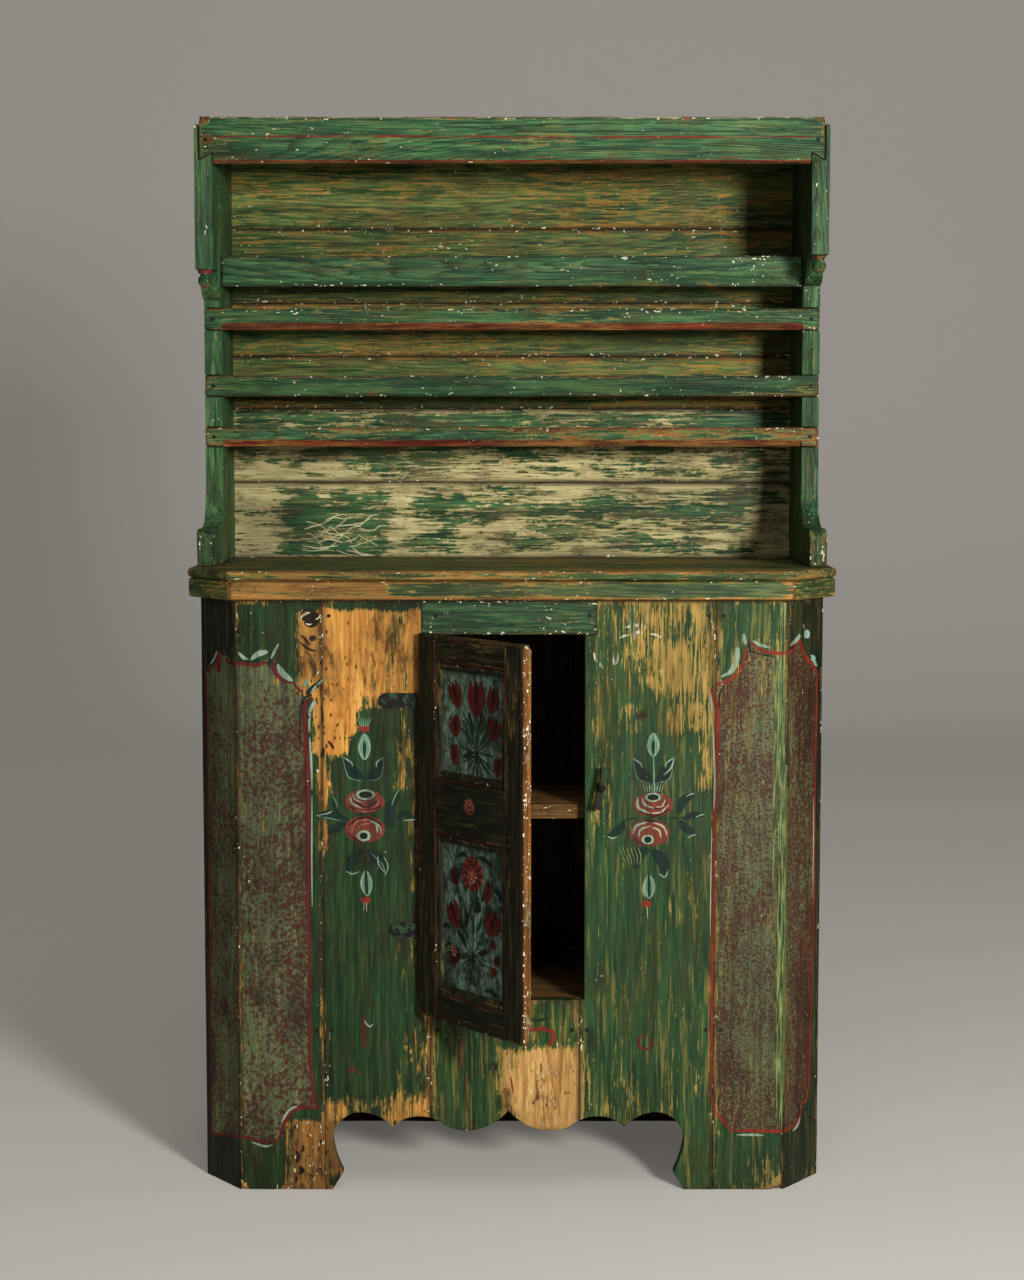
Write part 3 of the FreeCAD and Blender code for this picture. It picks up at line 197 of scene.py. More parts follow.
finishes = {
    "greenPaint": greenCoat,
    "leftPaint": coat("#13260f #1b3418 #233f1d #2d290b #675c29 #d19a4b #93591f", stain="#5c3210",
                      stained=0.8, lines=30, wear=0.685, thin=0.2, soil=0.6, fleck=0.82, grit=150,
                      dabs=0.486),
    "rightPaint": coat("#183017 #233f20 #2f4d26 #3f4416 #7d7134 #ac8c4a #735a2a", stain="#7a4c1f",
                       stained=0.7, streak=0.75, wear=0.69, step=0.03, thin=0.5, lines=30, grit=230,
                       dabs=0.470),
    "cantPaint": coat("#10180b #1c2612 #303a1a #27190b #574f25", streak=0.75, wear=0.69, thin=0.5,
                      grit=190, dabs=0.452, soil=0.5),
    # the left canted board's coat, darker than the right one's: painted shade, as it faces away from the key
    # lamp
    "shadedPaint": coat("#0c1208 #141c0d #232c15 #24190b #4f4924", streak=0.75, wear=0.70, thin=0.4,
                        fleck=0.82, grit=170, dabs=0.505, soil=0.6),
    "rackPaint": coat("#1a3823 #2c5232 #4d723f #3f4a20 #77733f #8a5e2e #41270f", wear=0.675, streak=0.6,
                      patch=12, groove=0.7, lines=58, fleck=0.68, soil=0.45),
    "counterPaint": coat("#22371b #3c5029 #616a38 #3c3d19 #7f713a #a87a3c #6a4520", wear=0.65, streak=0.6,
                         patch=8, fleck=0.76),
    "backPaint": coat("#263f1d #4a6130 #737f40 #6f6228 #8d7a3a #b0803a #553c1a", wear=0.61, streak=0.9,
                      thin=0.85, groove=0.5, lines=60, fleck=0.72),
    "creamPaint": coat("#16331a #27502c #45683a #5b5530 #827c4a #c4b683 #8d8152", stain="#5f5030",
                       stained=0.7, wear=0.60, step=0.02, streak=0.5, patch=21, fleck=0.88, groove=0.45,
                       thin=0.6, soil=0.5),
    "doorPaint": coat("#0b0c05 #191a0d #2c2c16 #1b1d0c #524826 #80592c #432c14", wear=0.66, patch=12,
                      fleck=0.84, groove=0.6, thin=0.5),
    "doorEdge": coat("#1a2711 #2f3017 #463f20 #3c3d19 #b3a980 #875622 #4c2c10", wear=0.46, step=0.02,
                     patch=20, fleck=0.40, groove=0.5, fleckColour="#dcd6bc", stained=0.7),
    "panelPaint": coat("#2c3a30 #506657 #768c7b #37402c #76836d #574a2e #3a2f1c", wear=0.69, step=0.03,
                       streak=0.3, patch=14, fleck=0.84, groove=0.25, thin=0.4, soil=0.85),
    "apronPaint": coat("#142711 #223e1c #2e4a23 #3d3910 #7d7031 #bb9356 #7a5226", stain="#4a2b10",
                       stained=0.8, lines=30, wear=0.67, thin=0.55, soil=0.5, patch=12),
    "redPaint": coat("#3b150d #602514 #833d1f #4d3117 #6c421f #8a5e2e #432a14", wear=0.60, streak=0.5,
                     patch=12, fleck=0.78),
    "buttonPaint": coat("#0b0c07 #17190e #2b4522 #1c1408 #46532b #55422a #261a0d", wear=0.66, patch=30,
                        fleck=0.78),
    "darkPine": coat("#261b10 #3c2c19 #554126 #33240f #4b3820 #84602f #432d16", wear=0.60, step=0.03,
                     streak=0.5, patch=6, fleck=0.97, groove=0.5, thin=0.2),
}
marble = {"base": "#454d33", "pale": "#636b46", "dab": "#42180f"}
# soot is dirt in clouds; the grime tone paints dirt, and painted shade along seams, in corners and round the
# opening
dirtAndShadeTones = {"soot": "#13110b", "grime": "#17130d"}
# cells per metre of each noise, and what that is on the real thing
scales = {
    "fibre": 330,       # fibres about 3 mm across
    "brush": 90,        # brush marks about 11 mm
    "thin": 190,        # streaks between them, 5 mm
    "cloud": 4.5,       # clouds of tone, wider than a hand
    "blotch": 26,       # stains of 4 cm
    "clump": 15,        # clumps of dabs and flecks, 7 cm
    "rings": 11,        # slow noise, whose contour lines are the growth rings
    "wander": 90,       # bends the outlines of flakes and flecks
    "flake": 170,       # flakes of paint about 6 mm long
    "fleck": 250,       # flecks of 1 to 4 mm
}
# what the paint is rubbed through by, beside its fibres and patches
wornBy = {"rings": 0.05, "flake": 0.09, "rubbed": 0.15, "bare": 0.32}
fleckedBy = {"rubbed": 0.26, "clump": 0.9}
# where its worn edges begin, and how soft they are towards the undercoat and the wood
wornEdge = {"from": 0.035, "under": 0.012, "wood": 0.016}
wander = 0.012      # metres
# by the way of the grain: how far fibres, worn patches and flecks are drawn out along it
stretch = {
    "z": ((1, 1, 0.06), (1, 1, 0.3), (1, 1, 0.5)),
    "x": ((0.06, 1, 1), (0.3, 1, 1), (0.5, 1, 1)),
    "y": ((1, 0.06, 1), (1, 0.3, 1), (1, 0.5, 1)),
    "level": ((0.08, 0.08, 1), (0.3, 0.3, 1), (0.6, 0.6, 1)),
    "mottled": ((0.9, 0.9, 0.4), (1, 1, 0.8), (1, 1, 0.8)),
}
made = {}


def wornPaint(finishName, grain, turn=0):
    # grain is the way the fibres run; turn brings a board that stands at an angle back to the axes
    key = f"{finishName}_{grain}" + (f"_{turn:.0f}" if turn else "")
    if key in made:
        return made[key]
    finish = finishes[finishName]
    material = bpy.data.materials.new(key)
    material.use_nodes = True
    tree = material.node_tree
    tree.nodes.clear()
    rubbed, bare, field, grime, cover = (addNode(tree, "Attribute", out="Fac", attribute_name=n)
                                         for n in ("rubbed", "bare", "field", "grime", "cover"))
    tint = addNode(tree, "Attribute", out="Color", attribute_name="tint")
    shift = addNode(tree, "Attribute", out="Vector", attribute_name="shift")
    place = addNode(tree, "TexCoord", out="Object")
    if turn:
        place = addNode(tree, "Mapping", {"Vector": place, "Rotation": (0, 0, math.radians(turn))})
    place = addNode(tree, "VectorMath", {0: place, 1: shift}, operation="ADD")
    along, broad, spread = (addNode(tree, "Mapping", {"Vector": place, "Scale": s}) for s in stretch[grain])

    fibre, brushed, thinned, patch, cloud, blotch, clump, slow = (
        addNode(tree, "TexNoise", {"Vector": v, "Scale": s, "Detail": d, "Roughness": r})
        for v, s, d, r in ((along, scales["fibre"], 3, 0.65), (along, scales["brush"], 5, 0.65),
                           (along, scales["thin"], 2, 0.6), (broad, finish["patch"], 12, 0.74),
                           (broad, scales["cloud"], 4, 0.55), (broad, scales["blotch"], 9, 0.76),
                           (place, scales["clump"], 3, 0.6), (along, scales["rings"], 1.5, 0.4)))

    # growth rings are its contour lines, roughened by the fibres
    rings = addNode(tree, "Math", {0: slow, 1: finish["lines"], 2: fibre}, operation="MULTIPLY_ADD")
    rings = addNode(tree, "Math", {0: rings}, operation="FRACT")
    rings = addNode(tree, "Math", {0: rings, 1: 3.2}, operation="POWER")

    # flakes and flecks each have a number of their own
    bent = addNode(tree, "TexNoise", {"Vector": place, "Scale": scales["wander"], "Detail": 2}, out="Color")
    bent = addNode(tree, "VectorMath", {0: bent, "Scale": wander}, operation="SCALE")
    flakeAt, fleckAt = (addNode(tree, "VectorMath", {0: v, 1: bent}, operation="ADD")
                        for v in (broad, spread))
    flake, fleck = (addNode(tree, "TexVoronoi", {"Vector": v, "Scale": s}, out="Color")
                    for v, s in ((flakeAt, scales["flake"]), (fleckAt, scales["fleck"])))
    flake, fleck = (addNode(tree, "SeparateColor", {"Color": c}) for c in (flake, fleck))
    fleckSpan = addNode(tree, "TexVoronoi", {"Vector": fleckAt, "Scale": scales["fleck"]})

    # how far the paint is gone: fibres, patches, rings, flakes, arrises and the bare places of the piece
    worn = addNode(tree, "Math", {0: fibre, 1: finish["streak"], 2: -finish["streak"] / 2},
                   operation="MULTIPLY_ADD")
    for share, amount in ((patch, 1), (rings, wornBy["rings"]), (flake, wornBy["flake"]),
                          (rubbed, wornBy["rubbed"]), (bare, wornBy["bare"])):
        worn = addNode(tree, "Math", {0: share, 1: amount, 2: worn}, operation="MULTIPLY_ADD")
    through = finish["wear"] + wornEdge["from"]
    toUnder, toWood = (
        addNode(tree, "MapRange", {"Value": worn, "From Min": edge - wornEdge["under"],
                                   "From Max": edge + soft})
        for edge, soft in ((through, wornEdge["under"]), (through + finish["step"], wornEdge["wood"])))

    # the coat: three tones in the brush marks, browned in clouds, thin in streaks, dark in the rings
    tone = addNode(tree, "Math", {0: fibre, 1: 0.65, 2: brushed}, operation="MULTIPLY_ADD")
    low, high, browned, thin = (
        addNode(tree, "MapRange", {"Value": v, "From Min": start, "From Max": end, "To Max": most})
        for v, start, end, most in ((tone, 0.70, 0.84, 1), (tone, 0.83, 1.0, 1), (blotch, 0.5, 0.62, 0.7),
                                    (thinned, 0.56, 0.66, finish["thin"])))
    paint = finish["dark"]
    for share, other in ((low, "mid"), (high, "light"), (browned, "aged"), (thin, "under")):
        paint = addNode(tree, "Mix", {0: share, 6: paint, 7: finish[other]}, out=2, data_type="RGBA")
    shade = addNode(tree, "MapRange", {"Value": cloud, "From Min": 0.3, "From Max": 0.7,
                                       "To Min": 0.62, "To Max": 1.3})
    groove = addNode(tree, "Math", {0: rings, 1: -finish["groove"], 2: 1}, operation="MULTIPLY_ADD")
    groove = addNode(tree, "Math", {0: groove, 1: shade}, operation="MULTIPLY")

    # marbled field: grey green dabbed with dark red, the dabs crowding along its border
    dab = addNode(tree, "TexNoise", {"Vector": place, "Scale": finish["grit"], "Detail": 6,
                                     "Roughness": 0.75})
    dab = addNode(tree, "Math", {0: clump, 1: 0.24, 2: dab}, operation="MULTIPLY_ADD")
    crowd = addNode(tree, "MapRange", {"Value": field, "To Min": 0.022, "From Max": 0.06, "To Max": -0.008},
                    clamp=False)
    dab = addNode(tree, "Math", {0: dab, 1: crowd}, operation="ADD")
    dabEdge = finish["dabs"] + 0.12
    dab = addNode(tree, "MapRange", {"Value": dab, "From Min": dabEdge - 0.02, "From Max": dabEdge + 0.045,
                                     "To Max": 0.92})
    paleGround = addNode(tree, "MapRange", {"Value": tone, "From Min": 0.72, "From Max": 0.98})
    scratched = addNode(tree, "Math", {0: thin, 1: 0.45}, operation="MULTIPLY")
    stone = marble["base"]
    for share, other in ((paleGround, marble["pale"]), (dab, marble["dab"]), (scratched, finish["under"])):
        stone = addNode(tree, "Mix", {0: share, 6: stone, 7: other}, out=2, data_type="RGBA")
    paint, stone = (addNode(tree, "VectorMath", {0: c, "Scale": groove}, operation="SCALE")
                    for c in (paint, stone))
    inField = addNode(tree, "Math", {0: field, 1: 0.0001}, operation="GREATER_THAN")

    # strokes of the brush carry their own colour; where they are thin they skip over the fibres
    body = addNode(tree, "MapRange", {"Value": tone, "From Min": 0.68, "From Max": 1.0, "To Min": 0.6,
                                      "To Max": 1.35})
    stroke = addNode(tree, "VectorMath", {0: tint, "Scale": body}, operation="SCALE")
    dry = addNode(tree, "Math", {0: fibre, 1: 1.1, 2: cover}, operation="MULTIPLY_ADD")
    dry = addNode(tree, "MapRange", {"Value": dry, "From Min": 0.96, "From Max": 1.14})

    # bare pine: dark late wood between pale early wood, stained in blotches
    lateWood = addNode(tree, "MapRange", {"Value": tone, "From Min": 0.72, "From Max": 0.98, "To Min": 0.65,
                                          "To Max": 0})
    lateWood = addNode(tree, "Math", {0: rings, 1: 0.4, 2: lateWood}, operation="MULTIPLY_ADD",
                       use_clamp=True)
    spoilt = addNode(tree, "Math", {0: flake, 1: 0.10, 2: blotch}, operation="MULTIPLY_ADD")
    spoilt = addNode(tree, "MapRange", {"Value": spoilt, "From Min": 0.60, "From Max": 0.68,
                                        "To Max": finish["stained"]})
    wood = finish["woodLight"]
    for share, other in ((lateWood, "woodDark"), (spoilt, "stain")):
        wood = addNode(tree, "Mix", {0: share, 6: wood, 7: finish[other]}, out=2, data_type="RGBA")
    wood = addNode(tree, "VectorMath", {0: wood, "Scale": shade}, operation="SCALE")

    # dirt in clouds, grime and painted shade along seams, in corners and around the door's opening, and pale
    # flecks where the paint has sprung off, in clusters and along the arrises
    sooty = addNode(tree, "Math", {0: clump, 1: 0.4, 2: blotch}, operation="MULTIPLY_ADD")
    sooty = addNode(tree, "MapRange", {"Value": sooty, "From Min": 0.69, "From Max": 0.86,
                                       "To Max": finish["soil"]})
    seamDirtAndShade = addNode(tree, "Math", {0: grime, 1: brushed}, operation="MULTIPLY")
    seamDirtAndShade = addNode(tree, "MapRange", {"Value": seamDirtAndShade, "From Min": 0.12, "From Max": 0.5, "To Max": 0.85})
    for share, amount in ((rubbed, fleckedBy["rubbed"]), (clump, fleckedBy["clump"])):
        fleck = addNode(tree, "Math", {0: share, 1: amount, 2: fleck}, operation="MULTIPLY_ADD")
    size = addNode(tree, "MapRange", {"Value": fleck, "From Min": finish["fleck"] + 0.58,
                                      "From Max": finish["fleck"] + 0.90, "To Max": 0.36})
    fleck = addNode(tree, "Math", {0: fleckSpan, 1: size}, operation="LESS_THAN")

    # one over the other
    colour = paint
    for share, other in ((inField, stone), (dry, stroke), (toUnder, finish["under"]), (toWood, wood),
                         (sooty, dirtAndShadeTones["soot"]), (seamDirtAndShade, dirtAndShadeTones["grime"]),
                         (fleck, finish["fleckColour"])):
        colour = addNode(tree, "Mix", {0: share, 6: colour, 7: other}, out=2, data_type="RGBA")

    # the coat stands over the wood, fibres and rings show through it
    height = addNode(tree, "Math", {0: toWood, 1: -0.5, 2: tone}, operation="MULTIPLY_ADD")
    height = addNode(tree, "Math", {0: rings, 1: -0.3 - finish["groove"], 2: height},
                     operation="MULTIPLY_ADD")
    relief = addNode(tree, "Bump", {"Height": height, "Strength": 0.6, "Distance": 0.001})
    dull = addNode(tree, "MapRange", {"Value": worn, "From Min": 0.4, "From Max": 0.8, "To Min": 0.46,
                                      "To Max": 0.76})
    shader = addNode(tree, "BsdfPrincipled", {"Base Color": colour, "Roughness": dull, "Normal": relief,
                                              "Specular IOR Level": 0.16})
    addNode(tree, "OutputMaterial", {"Surface": shader})
    made[key] = material
    return material


# Wrought iron, blackened and handled: dark grey with rust in its pores and rests of paint.
iron = {"dark": "#090907", "light": "#15140f", "rust": "#21160b", "paint": "#243f25",
        "scale": 160, "hammer": 70, "rests": 90}        # cells per metre: 6, 14 and 11 mm


def wroughtIron(name, painted):
    # painted is how far the rests of paint reach
    material = bpy.data.materials.new(name)
    material.use_nodes = True
    tree = material.node_tree
    tree.nodes.clear()
    place = addNode(tree, "TexCoord", out="Object")
    scale = addNode(tree, "TexNoise", {"Vector": place, "Scale": iron["scale"], "Detail": 6,
                                       "Roughness": 0.65})
    hammer = addNode(tree, "TexNoise", {"Vector": place, "Scale": iron["hammer"], "Detail": 3})
    patch = addNode(tree, "TexNoise", {"Vector": place, "Scale": iron["rests"], "Detail": 4,
                                       "Roughness": 0.6})
    colour = iron["dark"]
    for value, start, end, other in ((scale, 0.35, 0.65, "light"), (patch, 0.54, 0.62, "rust"),
                                     (hammer, 0.64 - painted, 0.67 - painted, "paint")):
        share = addNode(tree, "MapRange", {"Value": value, "From Min": start, "From Max": end})
        colour = addNode(tree, "Mix", {0: share, 6: colour, 7: iron[other]}, out=2, data_type="RGBA")
    height = addNode(tree, "Math", {0: hammer, 1: 1.5, 2: scale}, operation="MULTIPLY_ADD")
    relief = addNode(tree, "Bump", {"Height": height, "Strength": 0.6, "Distance": 0.0012})
    rough = addNode(tree, "MapRange", {"Value": scale, "To Min": 0.42, "To Max": 0.8})
    shader = addNode(tree, "BsdfPrincipled", {"Base Color": colour, "Metallic": 0.2, "Roughness": rough,
                                              "Specular IOR Level": 0.2, "Normal": relief})
    addNode(tree, "OutputMaterial", {"Surface": shader})
    return material


print("finishes made")


# the painter's plan of the front, in mm
# u runs along the front and on round the canted corners as if they were folded flat, z is the height

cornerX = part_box("front_corner_plank_right")[1].x / mm
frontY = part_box("front_corner_plank_right")[0].y / mm
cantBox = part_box("cant_board_right")
cantDepth = 84      # from the front to the back edge of a canted board, outside
cantAlong = Vector((cantBox[1].x / mm - cornerX, cantDepth, 0)).normalized()
cantTurn = math.degrees(math.atan2(cantAlong.y, cantAlong.x))


def unroll(spot):
    x, y, z = (c / mm for c in spot)
    if abs(x) <= cornerX:
        return x, z
    return math.copysign(cornerX + math.hypot(abs(x) - cornerX, y - frontY), x), z


def onFront(u, z, lift):
    past = abs(u) - cornerX
    if past <= 0:
        return Vector((u, frontY - lift, z)) * mm
    side = math.copysign(1, u)
    x = cornerX + past * cantAlong.x + lift * cantAlong.y
    return Vector((side * x, frontY + past * cantAlong.y - lift * cantAlong.x, z)) * mm


leftField = [(-533, 72), (-533, 838), (-512, 852), (-494, 878), (-474, 869), (-458, 864), (-441, 865),
             (-403, 863), (-388, 869), (-383, 879), (-380, 850), (-367, 837), (-350, 833), (-344, 823),
             (-336, 818), (-334, 780), (-330, 727), (-329, 632), (-330, 464), (-329, 316), (-328, 216),
             (-322, 158), (-316, 137), (-345, 137), (-362, 127), (-372, 108), (-380, 84), (-403, 80),
             (-439, 88), (-491, 80)]
rightField = [(329, 832), (345, 837), (361, 850), (371, 869), (375, 889), (381, 899), (394, 888),
              (415, 882), (436, 881), (454, 885), (477, 898), (491, 876), (512, 859), (533, 844),
              (531, 725), (530, 616), (531, 470), (525, 300), (518, 150), (499, 134), (484, 104),
              (456, 99), (393, 99), (359, 99), (340, 124), (324, 158), (324, 316), (327, 447), (325, 573),
              (327, 663), (330, 734), (331, 784), (325, 809)]
# bare places: from u, to u, from z, to z, softness of the edge, strength
barePlaces = [
    (-348, -138, 808, 952, 9, 1.0), (-326, -262, 714, 812, 11, 1.0), (-268, -246, 746, 812, 8, 1.0),
    (-252, -200, 788, 812, 9, 0.9), (-196, -148, 660, 806, 13, 0.52), (-322, -288, 640, 716, 9, 0.5),
    (-330, -300, 560, 640, 8, 0.3), (-392, -356, 816, 846, 9, 0.5), (-166, -148, 380, 650, 8, 0.26),
    (146, 330, 806, 972, 22, 0.50), (188, 300, 812, 910, 20, 0.68), (128, 152, 800, 968, 8, 0.42),
    (166, 214, 742, 806, 13, 0.6), (252, 324, 752, 806, 13, 0.6), (296, 322, 660, 760, 8, 0.40),
    (128, 160, 600, 780, 10, 0.38), (140, 330, 100, 560, 40, 0.15), (-22, 112, 92, 236, 16, 0.95),
    (-62, -34, 120, 250, 8, 0.3), (-374, -298, -20, 118, 10, 0.95), (-302, -266, 20, 150, 10, 0.7),
    (-300, -140, 98, 160, 16, 0.48), (-133, -100, 120, 300, 10, 0.4), (396, 444, -20, 60, 14, 0.42),
    (330, 400, -10, 60, 10, 0.3), (424, 440, 150, 900, 8, 0.30), (-412, -398, 150, 700, 5, 0.24),
    (-30, 100, 240, 300, 14, 0.3),
]


# dirty places in the same order, and painted shade: the strip by the hinge is the open door's painted shadow
dirtAndShadePlaces = [(-352, -292, 828, 952, 14, 0.45), (-374, -262, -20, 122, 14, 0.8),
               (-300, -140, 96, 170, 16, 0.35), (-22, 112, 88, 140, 14, 0.35),
               # the door's opening is darkened along its foot and its right edge too
               (-133, 112, 280, 320, 10, 0.4), (330, 445, -20, 70, 20, 0.4),
               (-445, -370, -20, 60, 20, 0.4), (-160, -140, 320, 900, 10, 0.5),
               (110, 124, 320, 900, 8, 0.4), ]


def insideBy(u, z, outline):
    # distance to an outline, positive inside it
    inside = False
    nearest = 1e9
    for (u0, z0), (u1, z1) in zip(outline, outline[1:] + outline[:1]):
        du, dz = u1 - u0, z1 - z0
        t = min(1.0, max(0.0, ((u - u0) * du + (z - z0) * dz) / (du * du + dz * dz)))
        nearest = min(nearest, math.hypot(u - u0 - t * du, z - z0 - t * dz))
        if (z0 > z) != (z1 > z) and u < u0 + du * (z - z0) / dz:
            inside = not inside
    return nearest if inside else -nearest


def bareAmount(u, z, places):
    amount = 0
    for low, high, bottom, top, soft, strength in places:
        depth = min(u - low, high - u, z - bottom, top - z)
        amount = max(amount, strength * smoothStep(-soft, soft, depth))
    return amount


def paintFront(u, z):
    field = insideBy(u, z, leftField if u < 0 else rightField) * mm
    if u < 0 and field > 0:
        field += 0.22 * smoothStep(760, 850, z)     # the left field has few dabs near its top
    return {"bare": bareAmount(u, z, barePlaces), "grime": bareAmount(u, z, dirtAndShadePlaces), "field": field}


def paintStrokes(u, z):
    # strokes of thick paint hold better than the coat under them
    return {"bare": 0.2 * bareAmount(u, z, barePlaces)}


# boards

boardWork = {
    "cell": 0.010,          # how finely wear can be painted
    "arris": 0.0013,        # rounding of the edges
    "sharp": 35,            # degrees from which an edge is rounded
    "soft": 50,             # degrees up to which a rounded face is shaded as one with the next
    "edgeWidth": 0.008,     # how far from an edge the paint is rubbed
    "dirtAndShadeReach": 0.0048,   # and how far dirt and painted shade reach from seams and corners
    "slow": 6,              # dents per metre: the waves of a hand plane,
    "fast": 45,             # knocks,
    "rough": 300,           # and splinters in the chips
}
doorTurn = 51.5             # degrees that the door stands open at rest


def boardShift(nodeName):
    # every board is cut from another part of the tree
    rng = random.Random(sum(ord(c) * (i + 3) for i, c in enumerate(nodeName)))
    return Vector([rng.uniform(-9, 9) for _ in range(3)])


def startFrom(nodeName, turn):
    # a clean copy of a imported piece, turned so that its faces follow the axes
    bm = bmesh.new()
    bm.from_mesh(cadNodes[nodeName].data)
    bmesh.ops.remove_doubles(bm, verts=bm.verts, dist=0.00002)
    bmesh.ops.dissolve_limit(bm, angle_limit=math.radians(0.5), verts=bm.verts, edges=bm.edges)
    if turn:
        bm.transform(Matrix.Rotation(math.radians(turn), 4, "Z"))
    return bm


def roundArrises(bm, width):
    # sawn edges that hands have rounded; the big faces keep their own shading beside them
    sharp = [e for e in bm.edges
             if len(e.link_faces) == 2 and e.calc_face_angle(0) > math.radians(boardWork["sharp"])]
    rounded = set(bmesh.ops.bevel(bm, geom=sharp, offset=width, segments=2, profile=0.5, affect="EDGES",
                                  material=-1)["faces"])
    bm.normal_update()
    for face in bm.faces:
        face.smooth = True
    for edge in bm.edges:
        if len(edge.link_faces) == 2:
            both = [f in rounded for f in edge.link_faces]
            flat = edge.calc_face_angle(0) < math.radians(boardWork["soft"])
            edge.smooth = both[0] == both[1] and flat


def cutCells(bm, cell):
    # cuts every face into cells, whose corners the wear is painted on; the long way first is quickest
    lows = [min(v.co[i] for v in bm.verts) for i in range(3)]
    highs = [max(v.co[i] for v in bm.verts) for i in range(3)]
    for axis in sorted(range(3), key=lambda i: lows[i] - highs[i]):
        low, high = lows[axis], highs[axis]
        count = int((high - low) / cell)
        spot, way = Vector(), Vector()
        way[axis] = 1
        for index in range(1, count):
            spot[axis] = low + (high - low) * index / count
            bmesh.ops.bisect_plane(bm, geom=bm.verts[:] + bm.edges[:] + bm.faces[:], dist=0.00001,
                                   plane_co=spot, plane_no=way)


def placePiece(bm, name, materials, body, replaced=()):
    mesh = bpy.data.meshes.new(name)
    bm.to_mesh(mesh)
    bm.free()
    for material in materials:
        mesh.materials.append(material)
    piece = bpy.data.objects.new(name, mesh)
    bpy.context.scene.collection.objects.link(piece)
    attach(piece, body)
    if replaced:
        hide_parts(*replaced)
    return piece


def openLayers(bm):
    amounts = ("rubbed", "bare", "field", "grime", "cover")
    for key in amounts:
        bm.verts.layers.float.new(key)
    bm.verts.layers.float_vector.new("shift")
    bm.verts.layers.float_color.new("tint")
    layers = {key: bm.verts.layers.float[key] for key in amounts}       # read once all are there
    layers["shift"] = bm.verts.layers.float_vector["shift"]
    layers["tint"] = bm.verts.layers.float_color["tint"]
    return layers


def writePaint(vert, layers, amounts):
    for key, amount in amounts.items():
        vert[layers[key]] = linear(amount) if key == "tint" else amount


def wornBoard(nodeName, finishName, grain, slotName, body="cupboard", turn=0, cell=None, arris=None,
              dent=0.0008, held=(1, 1, 1), paint=None, folded=False, facings=None, chips=()):
    # held switches the dents off along the axes on which the board meets its neighbours;
    # folded reads the painter's plan; facings gives faces another finish by the way they face;
    # chips are knocked out of the edges
    bm = startFrom(nodeName, turn)
    roundArrises(bm, arris or boardWork["arris"])
    bm.normal_update()
    finishNames = [finishName]
    for otherFinish, test in (facings or {}).items():
        finishNames.append(otherFinish)
        for face in bm.faces:
            if test(face.normal):
                face.material_index = len(finishNames) - 1
    cutCells(bm, cell or boardWork["cell"])
    for centre, radius, depth in chips:
        spot = Matrix.Rotation(math.radians(turn), 3, "Z") @ (Vector(centre) * mm)
        near = {e for f in bm.faces if (f.calc_center_median() - spot).length < radius * mm * 1.4
                for e in f.edges}
        if near:
            bmesh.ops.subdivide_edges(bm, edges=list(near), cuts=2, use_grid_fill=True)
    layers = openLayers(bm)
    low = Vector([min(v.co[i] for v in bm.verts) for i in range(3)])
    high = Vector([max(v.co[i] for v in bm.verts) for i in range(3)])
    middle = (low + high) / 2
    move = boardShift(nodeName)
    back = Matrix.Rotation(math.radians(-turn), 4, "Z")
    bm.normal_update()
    steps = []
    for vert in bm.verts:
        vert[layers["shift"]] = move
        gaps = sorted(min(vert.co[i] - low[i], high[i] - vert.co[i]) for i in range(3))
        nearEdge = 1 - smoothStep(0, boardWork["edgeWidth"], gaps[1])
        vert[layers["rubbed"]] = nearEdge
        # dirt and painted shade along the board's seams and in its corners
        vert[layers["grime"]] = 1 - smoothStep(0, boardWork["dirtAndShadeReach"], gaps[1])
        if paint:
            spot = back @ vert.co
            amounts = paint(*unroll(spot)) if folded else paint(spot.x / mm, spot.z / mm)
            amounts["grime"] = max(amounts.get("grime", 0), vert[layers["grime"]])
            writePaint(vert, layers, amounts)
        spot = vert.co + move
        slow = noise.noise(spot * boardWork["slow"]) + 1
        fast = noise.noise(spot * boardWork["fast"]) + 1
        deep = dent * (0.3 * slow + 0.25 * fast + nearEdge * 0.5 * fast)
        step = Vector([-n * deep * h for n, h in zip(vert.normal, held)])
        for centre, radius, depth in chips:
            away = (back @ vert.co - Vector(centre) * mm).length / (radius * mm)
            if away < 1:
                rough = 0.6 + 0.8 * noise.noise(vert.co * boardWork["rough"])
                step += (middle - vert.co).normalized() * depth * mm * (1 - away * away) * max(0.1, rough)
                vert[layers["bare"]] = 1
        steps.append(step)
    for vert, step in zip(bm.verts, steps):
        vert.co += step
    if turn:
        bm.transform(back)
    # bare wood shows its grain under mottled paint too
    grains = ["z" if n == "darkPine" and grain == "mottled" else grain for n in finishNames]
    materials = [wornPaint(n, g, turn if g == "x" else 0) for n, g in zip(finishNames, grains)]
    return placePiece(bm, "worn_" + nodeName, materials, body, [nodeName])


def chamfered(normal):
    return normal.y < -0.3 and normal.z < -0.3


def seamTongues(name, boards, axis):
    # loose tongues let into the edges of the back boards close their seams
    bm = bmesh.new()
    for first, second in zip(boards, boards[1:]):
        low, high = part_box(first)[0].copy(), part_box(first)[1].copy()
        low[axis], high[axis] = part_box(first)[1][axis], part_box(second)[0][axis]
        low.y, high.y = low.y * 0.6, low.y * 0.4
        place = Matrix.Translation((low + high) / 2) @ Matrix.Diagonal((*(high - low), 1))
        tongue = bmesh.ops.create_cube(bm, size=1, matrix=place)
        edges = {e for v in tongue["verts"] for e in v.link_edges}
        bmesh.ops.bevel(bm, geom=list(edges), offset=0.0002, segments=1, profile=0.5, affect="EDGES",
                        material=-1)
    layers = openLayers(bm)
    # the tongues are darkened all over with the grime tone: painted shade deep in the seams
    for vert in bm.verts:
        vert[layers["grime"]] = 1
    placePiece(bm, name, [wornPaint("darkPine", "z" if axis == 0 else "x")], "cupboard")


